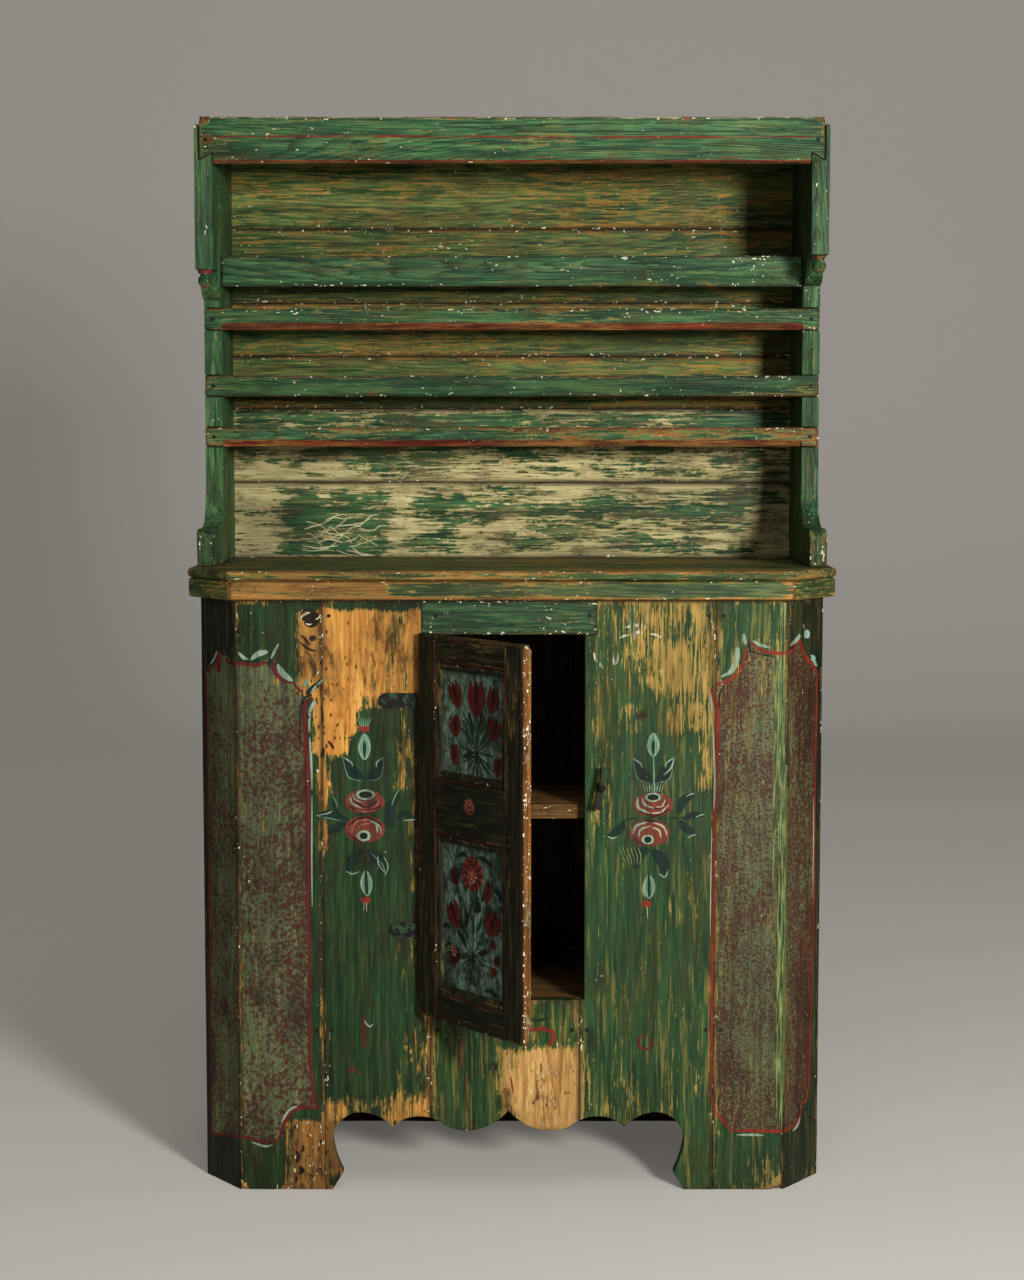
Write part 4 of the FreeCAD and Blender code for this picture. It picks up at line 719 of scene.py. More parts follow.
# what differs between the sides: finishes, the left cant's darker one being painted shade,
# turn of the canted board, chip out of the front corner's foot
baseSides = {
    "left": {"front": "leftPaint", "cant": "shadedPaint", "turn": cantTurn,
             "chip": ((-cornerX, frontY, 2), 12, 4)},
    "right": {"front": "rightPaint", "cant": "cantPaint", "turn": -cantTurn,
              "chip": ((cornerX, frontY, 4), 22, 9)},
}
frontHeld = (0.3, 1, 1)


def buildBase():
    front = dict(paint=paintFront, folded=True, held=frontHeld)
    for side, its in baseSides.items():
        wornBoard(f"base_side_{side}", "greenPaint", "z", "green_paint")
        wornBoard(f"cant_board_{side}", its["cant"], "z", "marbled_paint", turn=its["turn"],
                  **dict(front, held=(0, 1, 1)))
        wornBoard(f"front_corner_plank_{side}", its["front"], "z", "marbled_paint", chips=[its["chip"]],
                  **front)
        wornBoard(f"front_plank_{side}", its["front"], "z", "green_paint", **front)
    wornBoard("apron_plank", "apronPaint", "z", "green_paint", **front)
    wornBoard("head_rail", "rackPaint", "x", "green_paint", held=frontHeld)
    for index in range(1, 6):
        wornBoard(f"base_back_board_{index}", "darkPine", "z", "bare_pine", cell=0.03, held=(0, 1, 1))
    seamTongues("seamTonguesBase", [f"base_back_board_{i}" for i in range(1, 6)], 0)
    for name in ("base_floor", "inner_shelf", "front_battens"):
        wornBoard(name, "darkPine", "x", "bare_pine", cell=0.02, held=(0, 1, 1),
                  facings={"leftPaint": lambda n: n.y < -0.6}, paint=lambda u, z: {"bare": 1})
    for name in ("floor_cleats", "shelf_cleats"):
        wornBoard(name, "darkPine", "y", "bare_pine", cell=0.03)


lowBead = 968       # mm, the bead that hands and aprons have rubbed
counterBare = [(-560, -200, 974, 1000, 8, 0.6), (-560, 0, 1000, 1020, 8, 0.28),
               (-190, 120, 980, 1020, 40, 0.25), (430, 560, 960, 1020, 20, 0.42),
               (-600, 600, 1007, 1020, 3, 0.3)]


def paintCounter(u, z):
    onBead = 1 - smoothStep(2, 6, abs(z - lowBead))
    return {"bare": max(bareAmount(u, z, counterBare), 0.6 * onBead)}


def buildCounter():
    counter = dict(paint=paintCounter, folded=True)
    wornBoard("counter_top", "counterPaint", "x", "green_paint", arris=0.0016, **counter)
    wornBoard("counter_rail_front", "counterPaint", "x", "green_paint", held=(0, 1, 1), **counter)
    for side in ("left", "right"):
        wornBoard(f"counter_rail_side_{side}", "counterPaint", "y", "green_paint", held=(1, 0, 1), **counter)
        wornBoard(f"counter_rail_cant_{side}", "counterPaint", "level", "green_paint", held=(0, 0, 1),
                  **counter)


# the low back boards are mostly cream, with islands of green left on them
islands = [(-400, -225, 1006, 1124, 30, 1.0), (-175, -95, 1030, 1120, 28, 0.75),
           (60, 240, 1030, 1112, 30, 0.6), (-20, 60, 1010, 1060, 18, 0.45),
           (250, 420, 1040, 1140, 34, 0.6), (-60, 200, 1146, 1180, 16, 0.25),
           (-470, -300, 1146, 1200, 20, 0.3), (200, 480, 1180, 1290, 26, 0.45),
           (-480, 480, 1236, 1292, 14, 0.8), (-480, -120, 1150, 1190, 22, 0.28),
           (-300, 100, 1190, 1250, 26, 0.3)]
# the low back boards are darkened at both ends: brown dirt at the left end, and towards the right side board
creamDarkEnds = [(-490, -350, 1014, 1120, 40, 0.9), (380, 490, 1014, 1280, 30, 0.5)]


def paintCream(u, z):
    return {"bare": 0.42 - 0.48 * bareAmount(u, z, islands), "grime": 0.7 * bareAmount(u, z, creamDarkEnds)}


rackDent = 0.0012
# how bare each bar is at its right end
bars = {"upper_plate_bar": 0.1, "lower_plate_bar": 0.5, "upper_shelf_rail": 0.0, "lower_shelf_rail": 0.05}


def buildRack():
    for side in ("left", "right"):
        wornBoard(f"rack_side_{side}", "rackPaint", "z", "green_paint", dent=rackDent)
    rail = dict(cell=0.008, dent=rackDent, facings={"redPaint": chamfered})
    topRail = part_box("top_rail")
    face, crest = topRail[0].y / mm, topRail[1].z / mm

    def paintTopRail(u, z):
        # rubbed bare at the ends, and a line of old cream along the crest
        rubbedEnd = 1 - smoothStep(0, 30, 505 - abs(u))
        return {"bare": 0.5 * rubbedEnd * smoothStep(1700, 1735, z), "tint": "#cabd90",
                "cover": 0.62 * smoothStep(crest - 3, crest - 1, z)}

    wornBoard("top_rail", "rackPaint", "x", "green_paint", paint=paintTopRail, **rail,
              chips=[((-500, face, crest), 14, 7), ((284, face, crest), 8, 4), ((505, face, crest), 10, 4),
                     ((-492, face, 1705), 8, 2)])
    for name, bare in bars.items():
        wornBoard(name, "rackPaint", "x", "green_paint", **rail,
                  chips=[((-234, -189, 1292), 9, 4)] if name == "lower_shelf_rail" else [],
                  paint=lambda u, z, bare=bare: {"bare": bare * smoothStep(-120, 60, u)})
    for name in ("upper_shelf", "lower_shelf", "roof_board"):
        wornBoard(name, "backPaint", "x", "green_paint", held=(0, 0, 1))
    for index in range(1, 7):
        low = index < 3
        wornBoard(f"rack_back_board_{index}", "creamPaint" if low else "backPaint", "x", "worn_back_paint",
                  held=(1, 1, 0), arris=0.0010, paint=paintCream if low else None,
                  facings={"darkPine": lambda n: n.y > 0.6})
    seamTongues("seamTonguesRack", [f"rack_back_board_{i}" for i in range(1, 7)], 2)


drops = {"collar": 7, "tip": 18, "lower": 24, "red": "#6d2417"}      # mm; the left drop hangs lower


def paintDrop(u, z):
    # a red collar, a dark ball and a bare tip
    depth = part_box("hood_drops")[1].z / mm - z - (0 if u > 0 else drops["lower"])
    if depth < drops["collar"]:
        return {"tint": drops["red"], "cover": 0.85}
    return {"bare": 0.5 * smoothStep(drops["tip"], drops["tip"] + 8, depth)}


def buildDoor():
    door = dict(body="door", turn=doorTurn, dent=0.0006)
    inside = {"darkPine": lambda n: n.y > 0.6}      # the inside of the door was never painted
    wornBoard("door_stile_hinge", "doorPaint", "z", "door_frame_paint", held=frontHeld, facings=inside,
              **door)
    wornBoard("door_stile_free", "doorPaint", "z", "door_frame_paint", cell=0.006,
              facings={"doorEdge": lambda n: n.x > 0.6, **inside}, **dict(door, dent=0.0014))
    for name in ("door_rail_top", "door_rail_lock", "door_rail_bottom"):
        wornBoard(name, "doorPaint", "x", "door_frame_paint", held=(0, 1, 1), facings=inside, **door)
    for name in ("door_panel_upper", "door_panel_lower"):
        wornBoard(name, "panelPaint", "mottled", "panel_paint", facings=inside, **dict(door, dent=0.0003))
    for name in ("door_moulding_upper", "door_moulding_lower"):
        wornBoard(name, "doorPaint", "z", "door_frame_paint", arris=0.0005, **dict(door, dent=0.0003))


def buildSmallParts():
    wornBoard("turn_button", "buttonPaint", "z", "green_paint", "turn_button", cell=0.004, dent=0.0006)
    wornBoard("button_spacer", "buttonPaint", "z", "green_paint", cell=0.004, dent=0.0003)
    wornBoard("hood_drops", "rackPaint", "z", "green_paint", cell=0.003, arris=0.0004, dent=0.0005,
              paint=paintDrop)
    ironPainted = wroughtIron("ironPainted", 0.12)
    ironBare = wroughtIron("ironBare", 0.0)
    for name in ("hinge_strap_upper", "hinge_strap_lower", "hinge_leaves", "hinge_pins", "button_nail",
                 "nail_heads"):
        cadNodes[name].data.materials.clear()
        cadNodes[name].data.materials.append(ironPainted if "strap" in name else ironBare)


buildBase()
print("base made")
buildCounter()
buildRack()
print("rack made")
buildDoor()
buildSmallParts()
print("door made")


# painted ornament
# each touch of the brush is a thin film of paint of its own, laid over the ones before it

brush = {"firstLift": 0.14, "nextLift": 0.012, "film": 0.0005}      # mm, mm, metres
tints = {
    "red": "#571812", "brightRed": "#742416", "rose": "#683021", "roseDark": "#3a130d", "pink": "#93594a",
    "pale": "#80917b", "cream": "#a89f82", "leaf": "#0e231b", "leafLight": "#5a7a5e", "dark": "#0f1a13",
    "blue": "#8aa99b", "tulip": "#4c1410", "tulipDark": "#240a08", "stem": "#101c14", "leafMid": "#22382a",
    "bloom": "#7c3322", "knot": "#241207", "doorLine": "#3a140d", "stripe": "#5e2414", "white": "#c9c2a4",
    "stained": "#7a4512", "paleGreen": "#78824a", "crackle": "#bdb488",
}


def throughPoints(points, steps):
    # a smooth line through the points
    line = []
    ends = [points[0]] + list(points) + [points[-1]]
    for a, b, c, d in zip(ends, ends[1:], ends[2:], ends[3:]):
        for index in range(steps):
            t = index / steps
            line.append(tuple(0.5 * (2 * b[k] + (c[k] - a[k]) * t
                                     + (2 * a[k] - 5 * b[k] + 4 * c[k] - d[k]) * t * t
                                     + (3 * b[k] - a[k] - 3 * c[k] + d[k]) * t ** 3) for k in (0, 1)))
    return line + [tuple(points[-1])]


class Painter:
    # lays the strokes of one group on one surface
    def __init__(self, place, shiftAt, paintAt=None):
        self.bm = bmesh.new()
        self.layers = openLayers(self.bm)
        self.place, self.shiftAt, self.paintAt = place, shiftAt, paintAt
        self.lift = brush["firstLift"]

    def lay(self, verts, spotOf, tint, cover):
        self.lift += brush["nextLift"]
        for vert in verts:
            u, z = spotOf(vert.co)
            if self.paintAt:
                writePaint(vert, self.layers, self.paintAt(u, z))
            writePaint(vert, self.layers, {"tint": tints[tint], "cover": cover})
            vert[self.layers["shift"]] = self.shiftAt(u)
            vert.co = self.place(u, z, self.lift)

    def stroke(self, points, widths, tint, cover=1.0, steps=6):
        # widths at the start, in the middle and at the end
        line = throughPoints(points, steps)
        count = len(line) - 1
        start, middle, end = widths
        pull = 2 * middle - (start + end) / 2

        def spotOf(co):
            t = (co.y + 1) / 2
            index = round(t * count)
            (u0, z0), (u1, z1) = line[max(index - 1, 0)], line[min(index + 1, count)]
            length = math.hypot(u1 - u0, z1 - z0) or 1
            half = ((1 - t) ** 2 * start + 2 * t * (1 - t) * pull + t * t * end) / 2 * co.x
            return line[index][0] + (z1 - z0) / length * half, line[index][1] - (u1 - u0) / length * half

        strip = bmesh.ops.create_grid(self.bm, x_segments=1, y_segments=count, size=1)
        self.lay(strip["verts"], spotOf, tint, cover)

    def blob(self, centre, radii, tint, cover=1.0, segments=20):
        disc = bmesh.ops.create_circle(self.bm, cap_ends=True, cap_tris=True, radius=1, segments=segments)
        self.lay(disc["verts"], lambda co: (centre[0] + co.x * radii[0], centre[1] + co.y * radii[1]), tint,
                 cover)

    def arc(self, centre, radii, fromAngle, toAngle, widths, tint, cover=1.0):
        points = []
        for index in range(6):
            a = math.radians(fromAngle + (toAngle - fromAngle) * index / 5)
            points.append((centre[0] + radii[0] * math.cos(a), centre[1] + radii[1] * math.sin(a)))
        self.stroke(points, widths, tint, cover, steps=3)

    def finish(self, name, finishNames, grain, body, slotName, turn=0, pick=None):
        if pick:
            for face in self.bm.faces:
                face.material_index = pick(face.calc_center_median())
        materials = [wornPaint(f, grain, turn) for f in finishNames]
        piece = placePiece(self.bm, name, materials, body)
        film = piece.modifiers.new("filmOfPaint", "SOLIDIFY")
        film.thickness = brush["film"]
        film.offset = -1
        return piece


frontBoards = ["front_corner_plank_left", "front_plank_left", "apron_plank", "front_plank_right",
               "front_corner_plank_right"]


def frontShift(u):
    if abs(u) > cornerX:
        return boardShift("cant_board_left" if u < 0 else "cant_board_right")
    for name in frontBoards:
        low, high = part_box(name)
        if low.x <= u * mm <= high.x:
            return boardShift(name)
    return boardShift("apron_plank")


def leafWithLight(painter, points, width, light=True):
    # a plump dark leaf with a light edge along its upper side
    painter.stroke(points, (2.5, width, 0.8), "leaf", 0.93, steps=8)
    if light:
        (u0, z0), (u1, z1), (u2, z2) = points
        side = math.copysign(1, u2 - u0)
        edge = [(u1 - side * width * 0.05, z1 + width * 0.40),
                ((u1 + u2) / 2 - side * 5, (z1 + z2) / 2 + width * 0.22), (u2 + side, z2 + 1)]
        painter.stroke(edge, (0.4, 2.2, 0.6), "pale", 0.8)
        belly = [(u0 + side * 3, z0 - 3), (u1 + side * width * 0.30, z1 - width * 0.40), (u2 + side, z2)]
        painter.stroke(belly, (0.4, 1.6, 0.5), "leafLight", 0.72)


# roses, in mm from their middle: a ball, shading, petals and a dark eye with a pale rim
roseShapes = {
    "up": {"ball": (32, 20), "eye": (1.3, 11.2), "rim": (15.5, 8.5), "dark": (11, 5.6), "strokes": [
        ([(-27, -7), (0, -18), (27, -7)], (2, 5, 2), "roseDark", 0.9),
        ([(-19, 4), (0, -9), (22, 2)], (1, 3, 1), "roseDark", 0.8),
        ([(-23, 7), (-20, -3), (-4, -11)], (1, 3.2, 1), "pale", 0.88),
        ([(-19, 13), (-16, 4), (-3, -2)], (0.8, 2.2, 0.8), "pale", 0.85),
        ([(24, 6), (20, -5), (8, -12)], (0.8, 2.2, 0.8), "pink", 0.9),
        ([(-14, -14), (2, -17), (18, -13)], (0.8, 2, 0.8), "pink", 0.85)]},
    "upLit": {"ball": (32, 20), "eye": (-1, 12), "rim": (13, 7.5), "dark": (9, 5), "strokes": [
        ([(-27, -7), (0, -18), (27, -7)], (2, 5, 2), "roseDark", 0.9),
        ([(-14, 2), (3, -7), (20, 3)], (1, 3, 1), "roseDark", 0.8),
        ([(-26, 11), (-24, -5), (-6, -14)], (1.5, 4.2, 1.2), "pale", 0.92),
        ([(-18, 11), (-15, 1), (0, -6)], (1, 3.4, 1), "pale", 0.9),
        ([(-4, -14), (12, -12), (24, 0)], (0.8, 2.6, 0.8), "cream", 0.85),
        ([(4, -4), (14, -2), (19, 9)], (0.8, 2.4, 0.8), "cream", 0.85)]},
    "down": {"ball": (33, 22), "eye": (-2, -10.7), "rim": (11.5, 9.0), "dark": (6.5, 5.6), "strokes": [
        ([(-28, 6), (0, 20), (28, 6)], (2, 4.5, 2), "roseDark", 0.8),
        ([(-29, -5), (-14, -17), (6, -20)], (1, 4, 1), "roseDark", 0.9),
        ([(-20, -4), (-14, 12), (8, 16)], (0.8, 2.6, 0.8), "pink", 0.88),
        ([(-12, -3), (-6, 7), (8, 9)], (0.8, 2.4, 0.8), "pink", 0.88),
        ([(20, -6), (18, 8), (8, 14)], (1, 3.6, 1), "pale", 0.86),
        ([(26, -8), (24, 4), (16, 12)], (0.8, 2.4, 0.8), "pale", 0.84)]},
    "downLit": {"ball": (33, 22), "eye": (-3, -11), "rim": (10, 8.0), "dark": (6, 5.2), "strokes": [
        ([(-28, 6), (0, 20), (28, 6)], (2, 4.5, 2), "roseDark", 0.8),
        ([(-29, -5), (-14, -17), (6, -20)], (1, 4, 1), "roseDark", 0.9),
        ([(-27, -2), (-22, 11), (-4, 18)], (1, 3.8, 1), "pale", 0.9),
        ([(-18, -6), (-14, 6), (2, 11)], (0.8, 3.0, 0.8), "pale", 0.88),
        ([(28, -4), (22, 10), (6, 17)], (1, 3.2, 1), "cream", 0.86),
        ([(18, -8), (15, 4), (4, 9)], (0.8, 3.0, 0.8), "cream", 0.86)]},
}


def rose(painter, centre, shapeName):
    shape = roseShapes[shapeName]

    def at(spot):
        return centre[0] + spot[0], centre[1] + spot[1]

    painter.blob(centre, shape["ball"], "rose", 0.93)
    for points, widths, tint, cover in shape["strokes"]:
        painter.stroke([at(p) for p in points], widths, tint, cover)
    painter.blob(at(shape["eye"]), shape["rim"], "pale", 0.92)
    painter.blob(at(shape["eye"]), shape["dark"], "dark")


def bud(painter, base, top, width):
    # a closed pale bud with a dark slit
    middle = ((base[0] + top[0]) / 2, (base[1] + top[1]) / 2)
    painter.stroke([base, middle, top], (3, width, 1), "leafLight", 0.92, steps=8)
    painter.stroke([(base[0], base[1] + 3), (middle[0], middle[1] - 2), (top[0], top[1] - 12)],
                   (1, width * 0.26, 0.6), "leaf", 0.88)
    for side in (-1, 1):
        painter.stroke([(base[0] + side * 2, base[1]), (middle[0] + side * width * 0.42, middle[1] - 2), top],
                       (0.7, 2, 0.5), "pale", 0.8)


def sprayLeft():
    painter = Painter(onFront, frontShift, paintStrokes)
    painter.stroke([(-237, 712), (-236, 690), (-236, 660)], (2.4, 2, 2), "leaf")
    painter.stroke([(-237, 590), (-237, 560), (-236, 526)], (2, 2, 2), "leaf")
    leafWithLight(painter, [(-238, 678), (-257, 689), (-271, 712)], 20)
    leafWithLight(painter, [(-234, 678), (-217, 689), (-207, 712)], 20)
    leafWithLight(painter, [(-270, 612), (-290, 620), (-314, 617)], 15)
    leafWithLight(painter, [(-268, 608), (-283, 598), (-294, 588)], 15, light=False)
    painter.stroke([(-262, 612), (-276, 618), (-287, 636), (-286, 652)], (1, 5, 1), "leaf", 0.85)
    painter.stroke([(-290, 652), (-283, 640), (-281, 630)], (0.6, 1.8, 0.6), "leafLight", 0.8)
    painter.stroke([(-192, 598), (-196, 624), (-181, 660)], (2, 15, 1), "leaf", 0.93, steps=8)
    painter.stroke([(-194, 634), (-188, 650), (-180, 662)], (0.6, 2, 0.6), "leafLight", 0.85)
    painter.stroke([(-186, 614), (-172, 622), (-155, 612)], (1, 10, 1), "leaf", 0.93)
    painter.stroke([(-174, 610), (-164, 611), (-152, 612)], (0.6, 2, 0.6), "pale", 0.85)
    painter.stroke([(-202, 612), (-192, 614), (-180, 618)], (2, 2, 1), "leaf")
    leafWithLight(painter, [(-240, 562), (-256, 547), (-265, 526)], 18, light=False)
    leafWithLight(painter, [(-232, 562), (-215, 546), (-206, 524)], 19)
    painter.stroke([(-268, 528), (-258, 523), (-246, 527)], (0.5, 2, 0.5), "pale", 0.8)
    painter.stroke([(-206, 520), (-200, 534), (-206, 550)], (0.5, 2.2, 0.5), "pale", 0.85)
    bud(painter, (-237, 709), (-237, 752), 21)
    bud(painter, (-236, 528), (-234, 486), 20)
    painter.blob((-237, 760), (8.5, 6), "brightRed", 0.9)
    for index in range(6):
        painter.stroke([(-243 + index * 2.4, 763), (-246 + index * 3.6, 771), (-249 + index * 4.8, 777)],
                       (1.4, 1.6, 0.5), "leafLight", 0.85)
    painter.blob((-236, 480), (8, 5.5), "brightRed", 0.85)
    painter.stroke([(-239, 476), (-239, 470), (-240, 463)], (1, 1, 0.6), "cream", 0.7)
    painter.stroke([(-235, 476), (-235, 470), (-235, 461)], (1, 1, 0.6), "cream", 0.7)
    rose(painter, (-237, 596), "down")
    rose(painter, (-237, 641), "up")
    painter.finish("roseSprayLeft", ["leftPaint"], "z", "cupboard", "green_paint")


def sprayRight():
    painter = Painter(onFront, frontShift, paintStrokes)
    painter.stroke([(227, 718), (228, 690), (229, 656)], (1.6, 2.2, 2), "leafLight", 0.9)
    leafWithLight(painter, [(225, 674), (208, 687), (195, 710)], 20)
    leafWithLight(painter, [(231, 674), (248, 687), (259, 711)], 20)
    painter.stroke([(244, 684), (256, 696), (261, 713)], (0.6, 2.6, 0.6), "pale", 0.9)
    painter.stroke([(251, 614), (280, 615), (304, 619)], (2, 2.5, 1), "leaf")
    painter.stroke([(268, 620), (276, 642), (294, 653)], (1, 15, 1), "leaf", 0.93, steps=8)
    painter.stroke([(276, 612), (292, 619), (309, 618)], (1, 12, 1), "leaf", 0.93)
    painter.stroke([(270, 611), (280, 598), (296, 588)], (1, 14, 1), "leaf", 0.93, steps=8)
    for end in ((294, 654), (310, 620), (297, 587)):
        painter.stroke([(end[0] - 14, end[1] - 5), (end[0] - 6, end[1] - 1), end],
                       (0.5, 2, 0.6), "pale", 0.82)
    painter.stroke([(200, 614), (186, 612), (176, 606)], (2, 2.4, 1.5), "leaf")
    painter.stroke([(181, 610), (174, 596), (154, 585)], (1, 14, 1.5), "leaf", 0.93, steps=8)
    painter.stroke([(170, 584), (162, 581), (154, 585)], (0.6, 2.2, 0.6), "pale", 0.85)
    painter.stroke([(222, 562), (205, 556), (201, 530)], (2, 19, 2), "leaf", 0.93, steps=8)
    painter.stroke([(225, 562), (242, 546), (249, 522)], (1, 20, 1.5), "leaf", 0.93, steps=8)
    painter.stroke([(236, 524), (247, 518), (252, 530)], (0.6, 2.4, 0.6), "pale", 0.88)
    for index in range(6):
        painter.stroke([(172 + index * 6, 568), (178 + index * 6, 552), (186 + index * 4, 538)],
                       (0.4, 1.3, 0.4), "paleGreen", 0.62)
    bud(painter, (227, 714), (227, 753), 21)
    bud(painter, (221, 521), (222, 482), 20)
    painter.stroke([(216, 512), (211, 498), (214, 486)], (0.8, 2.8, 0.6), "pale", 0.85)
    painter.blob((218, 474), (8, 5.5), "brightRed", 0.85)
    painter.stroke([(218, 470), (219, 462), (219, 450)], (1, 1, 0.6), "cream", 0.7)
    for index in range(8):
        painter.stroke([(215 + index * 3.6, 657), (213 + index * 4.2, 664), (210 + index * 5, 671)],
                       (1, 1.3, 0.5), "pale", 0.78)
    rose(painter, (222, 590), "downLit")
    rose(painter, (228, 636), "upLit")
    painter.finish("roseSprayRight", ["rightPaint"], "z", "cupboard", "green_paint")


# a border: its lines in order, each with the widths at its start, middle and end, and its points in mm
leftBorder = {
    "red": [
        ((3, 5.5, 2), (-474, 869), (-458, 864), (-441, 865), (-423, 863), (-403, 863), (-388, 869),
         (-382, 880)),
        ((3, 6, 2), (-384, 868), (-380, 850), (-367, 837), (-350, 833)),
        ((2, 3.5, 3), (-350, 833), (-344, 824), (-335, 818)),
        ((4, 6, 3), (-494, 878), (-506, 862), (-520, 850), (-534, 844)),
        ((4, 8, 6.5), (-322, 808), (-332, 798), (-333, 780), (-330, 727), (-329, 632)),
        ((6.5, 6, 4.5), (-329, 632), (-329, 531), (-330, 464), (-328, 390)),
        ((4.5, 4.5, 4), (-328, 390), (-329, 316), (-328, 216), (-322, 158), (-315, 137)),
        ((4, 6, 3), (-315, 137), (-345, 137), (-362, 127), (-372, 108), (-380, 84)),
        ((3, 5, 4), (-380, 83), (-403, 80), (-439, 88), (-491, 80), (-533, 72)),
        ((4, 4, 4), (-533, 72), (-533, 300), (-533, 560), (-533, 838)),
        ((9, 13, 6), (-494, 846), (-494, 862), (-493, 880))],
    "leaf": [
        ((3, 4, 1), (-321, 815), (-334, 807), (-339, 787), (-340, 733)),
        ((2, 7, 1), (-391, 860), (-384, 874), (-379, 884)),
        ((3, 9, 1), (-330, 815), (-318, 826), (-300, 839)),
        ((1, 2, 1), (-440, 867), (-423, 868), (-406, 868))],
    "pale": [
        ((1, 9, 3), (-419, 870), (-406, 880), (-391, 883)),
        ((3, 5, 1), (-438, 882), (-430, 874), (-422, 871)),
        ((1.5, 4.5, 2), (-386, 872), (-380, 884), (-374, 896)),
        ((2, 10, 1), (-376, 863), (-366, 847), (-351, 836)),
        ((1, 4, 1), (-322, 818), (-312, 830), (-300, 840)),
        ((6, 5, 1), (-316, 803), (-324, 787), (-326, 753)),
        ((1, 3.5, 1), (-325, 745), (-323, 713), (-322, 660)),
        ((1, 2.4, 1), (-322, 650), (-323, 560), (-323, 470)),
        ((1, 4, 1), (-350, 140), (-364, 132), (-376, 112)), ((1, 4, 1), (-390, 76), (-403, 73), (-425, 80)),
        ((1, 4, 1), (-500, 880), (-508, 868), (-520, 858)),
        ((8, 12, 8), (-334, 834), (-331, 833), (-327, 831))],
}
rightBorder = {
    "brightRed": [
        ((4, 6.5, 3), (327, 831), (345, 836), (361, 849), (371, 869), (375, 890)),
        ((3, 6, 3), (381, 900), (394, 888), (415, 882), (436, 881), (454, 885), (478, 899)),
        ((4, 7, 3), (478, 899), (491, 876), (512, 859), (533, 844)),
        ((4, 5, 4), (535, 842), (531, 816), (531, 725), (530, 616), (531, 470)),
        ((4, 5, 4), (531, 470), (525, 300), (518, 150), (499, 134)),
        ((4, 7, 4.5), (320, 825), (325, 809), (331, 784), (330, 734), (327, 663), (326, 573)),
        ((4.5, 4.5, 4), (326, 573), (325, 447), (324, 316), (324, 216), (324, 158)),
        ((3, 5.5, 3), (499, 134), (488, 106), (456, 98), (393, 99), (359, 98)),
        ((3, 4.5, 3), (324, 158), (332, 132), (346, 112), (359, 98))],
    "dark": [
        ((1, 3, 1), (373, 868), (381, 884), (378, 900)), ((1, 3, 1), (337, 826), (333, 812), (333, 792)),
        ((1, 2.5, 1), (384, 884), (400, 879), (420, 875))],
    "pale": [
        ((1, 9, 5), (335, 843), (352, 853), (360, 873), (361, 890)),
        ((2, 6, 1), (371, 912), (372, 902), (375, 894)), ((2, 5, 1), (385, 901), (398, 894), (414, 890)),
        ((1, 8, 5), (447, 893), (467, 901), (477, 908)), ((2, 7, 2), (512, 873), (521, 862), (531, 853)),
        ((1, 3, 1), (317, 816), (320, 800), (321, 784)), ((1, 3, 1), (322, 770), (326, 681), (325, 627)),
        ((0.6, 2, 0.6), (322, 600), (321, 500), (321, 420)), ((1, 4, 1), (366, 92), (393, 92), (410, 91)),
        ((1, 5, 2), (470, 92), (486, 98), (494, 110)),
        ((0.6, 2.4, 0.6), (525, 640), (526, 560), (526, 470))],
    "blue": [
        ((8, 14, 6), (490, 908), (498, 908), (506, 905)), ((6, 10, 5), (513, 868), (519, 867), (525, 864))],
}


def fieldBorder(name, border, finishName):
    painter = Painter(onFront, frontShift, paintStrokes)
    if border is rightBorder:       # the corner is rubbed pale
        for widths, *points in (
                ((8, 13, 8), (434, 962), (432, 760), (436, 520), (433, 300), (436, 110)),
                ((3, 6, 2), (422, 900), (424, 700), (421, 500)),
                ((3, 5, 3), (441, 700), (442, 400), (441, 130))):
            painter.stroke(points, widths, "paleGreen", 0.47, steps=24)
    for tint, lines in border.items():
        cover = 0.88 if tint in ("leaf", "dark") else 0.80
        for widths, *points in lines:
            painter.stroke(points, widths, tint, cover, steps=7)
    painter.finish(name, [finishName], "z", "cupboard", "marbled_paint")


# specks and chips on the left bare patch, the left foot and the apron: from u, to u, from z, to z, colour
specks = [(-345, -292, 716, 925, "knot"), (-290, -160, 800, 940, "stained"),
          (-330, -250, 720, 830, "knot"), (-372, -300, 10, 112, "knot"), (-366, -306, 8, 116, "white"),
          (-14, 104, 128, 232, "stained"), (20, 74, 132, 240, "white")]


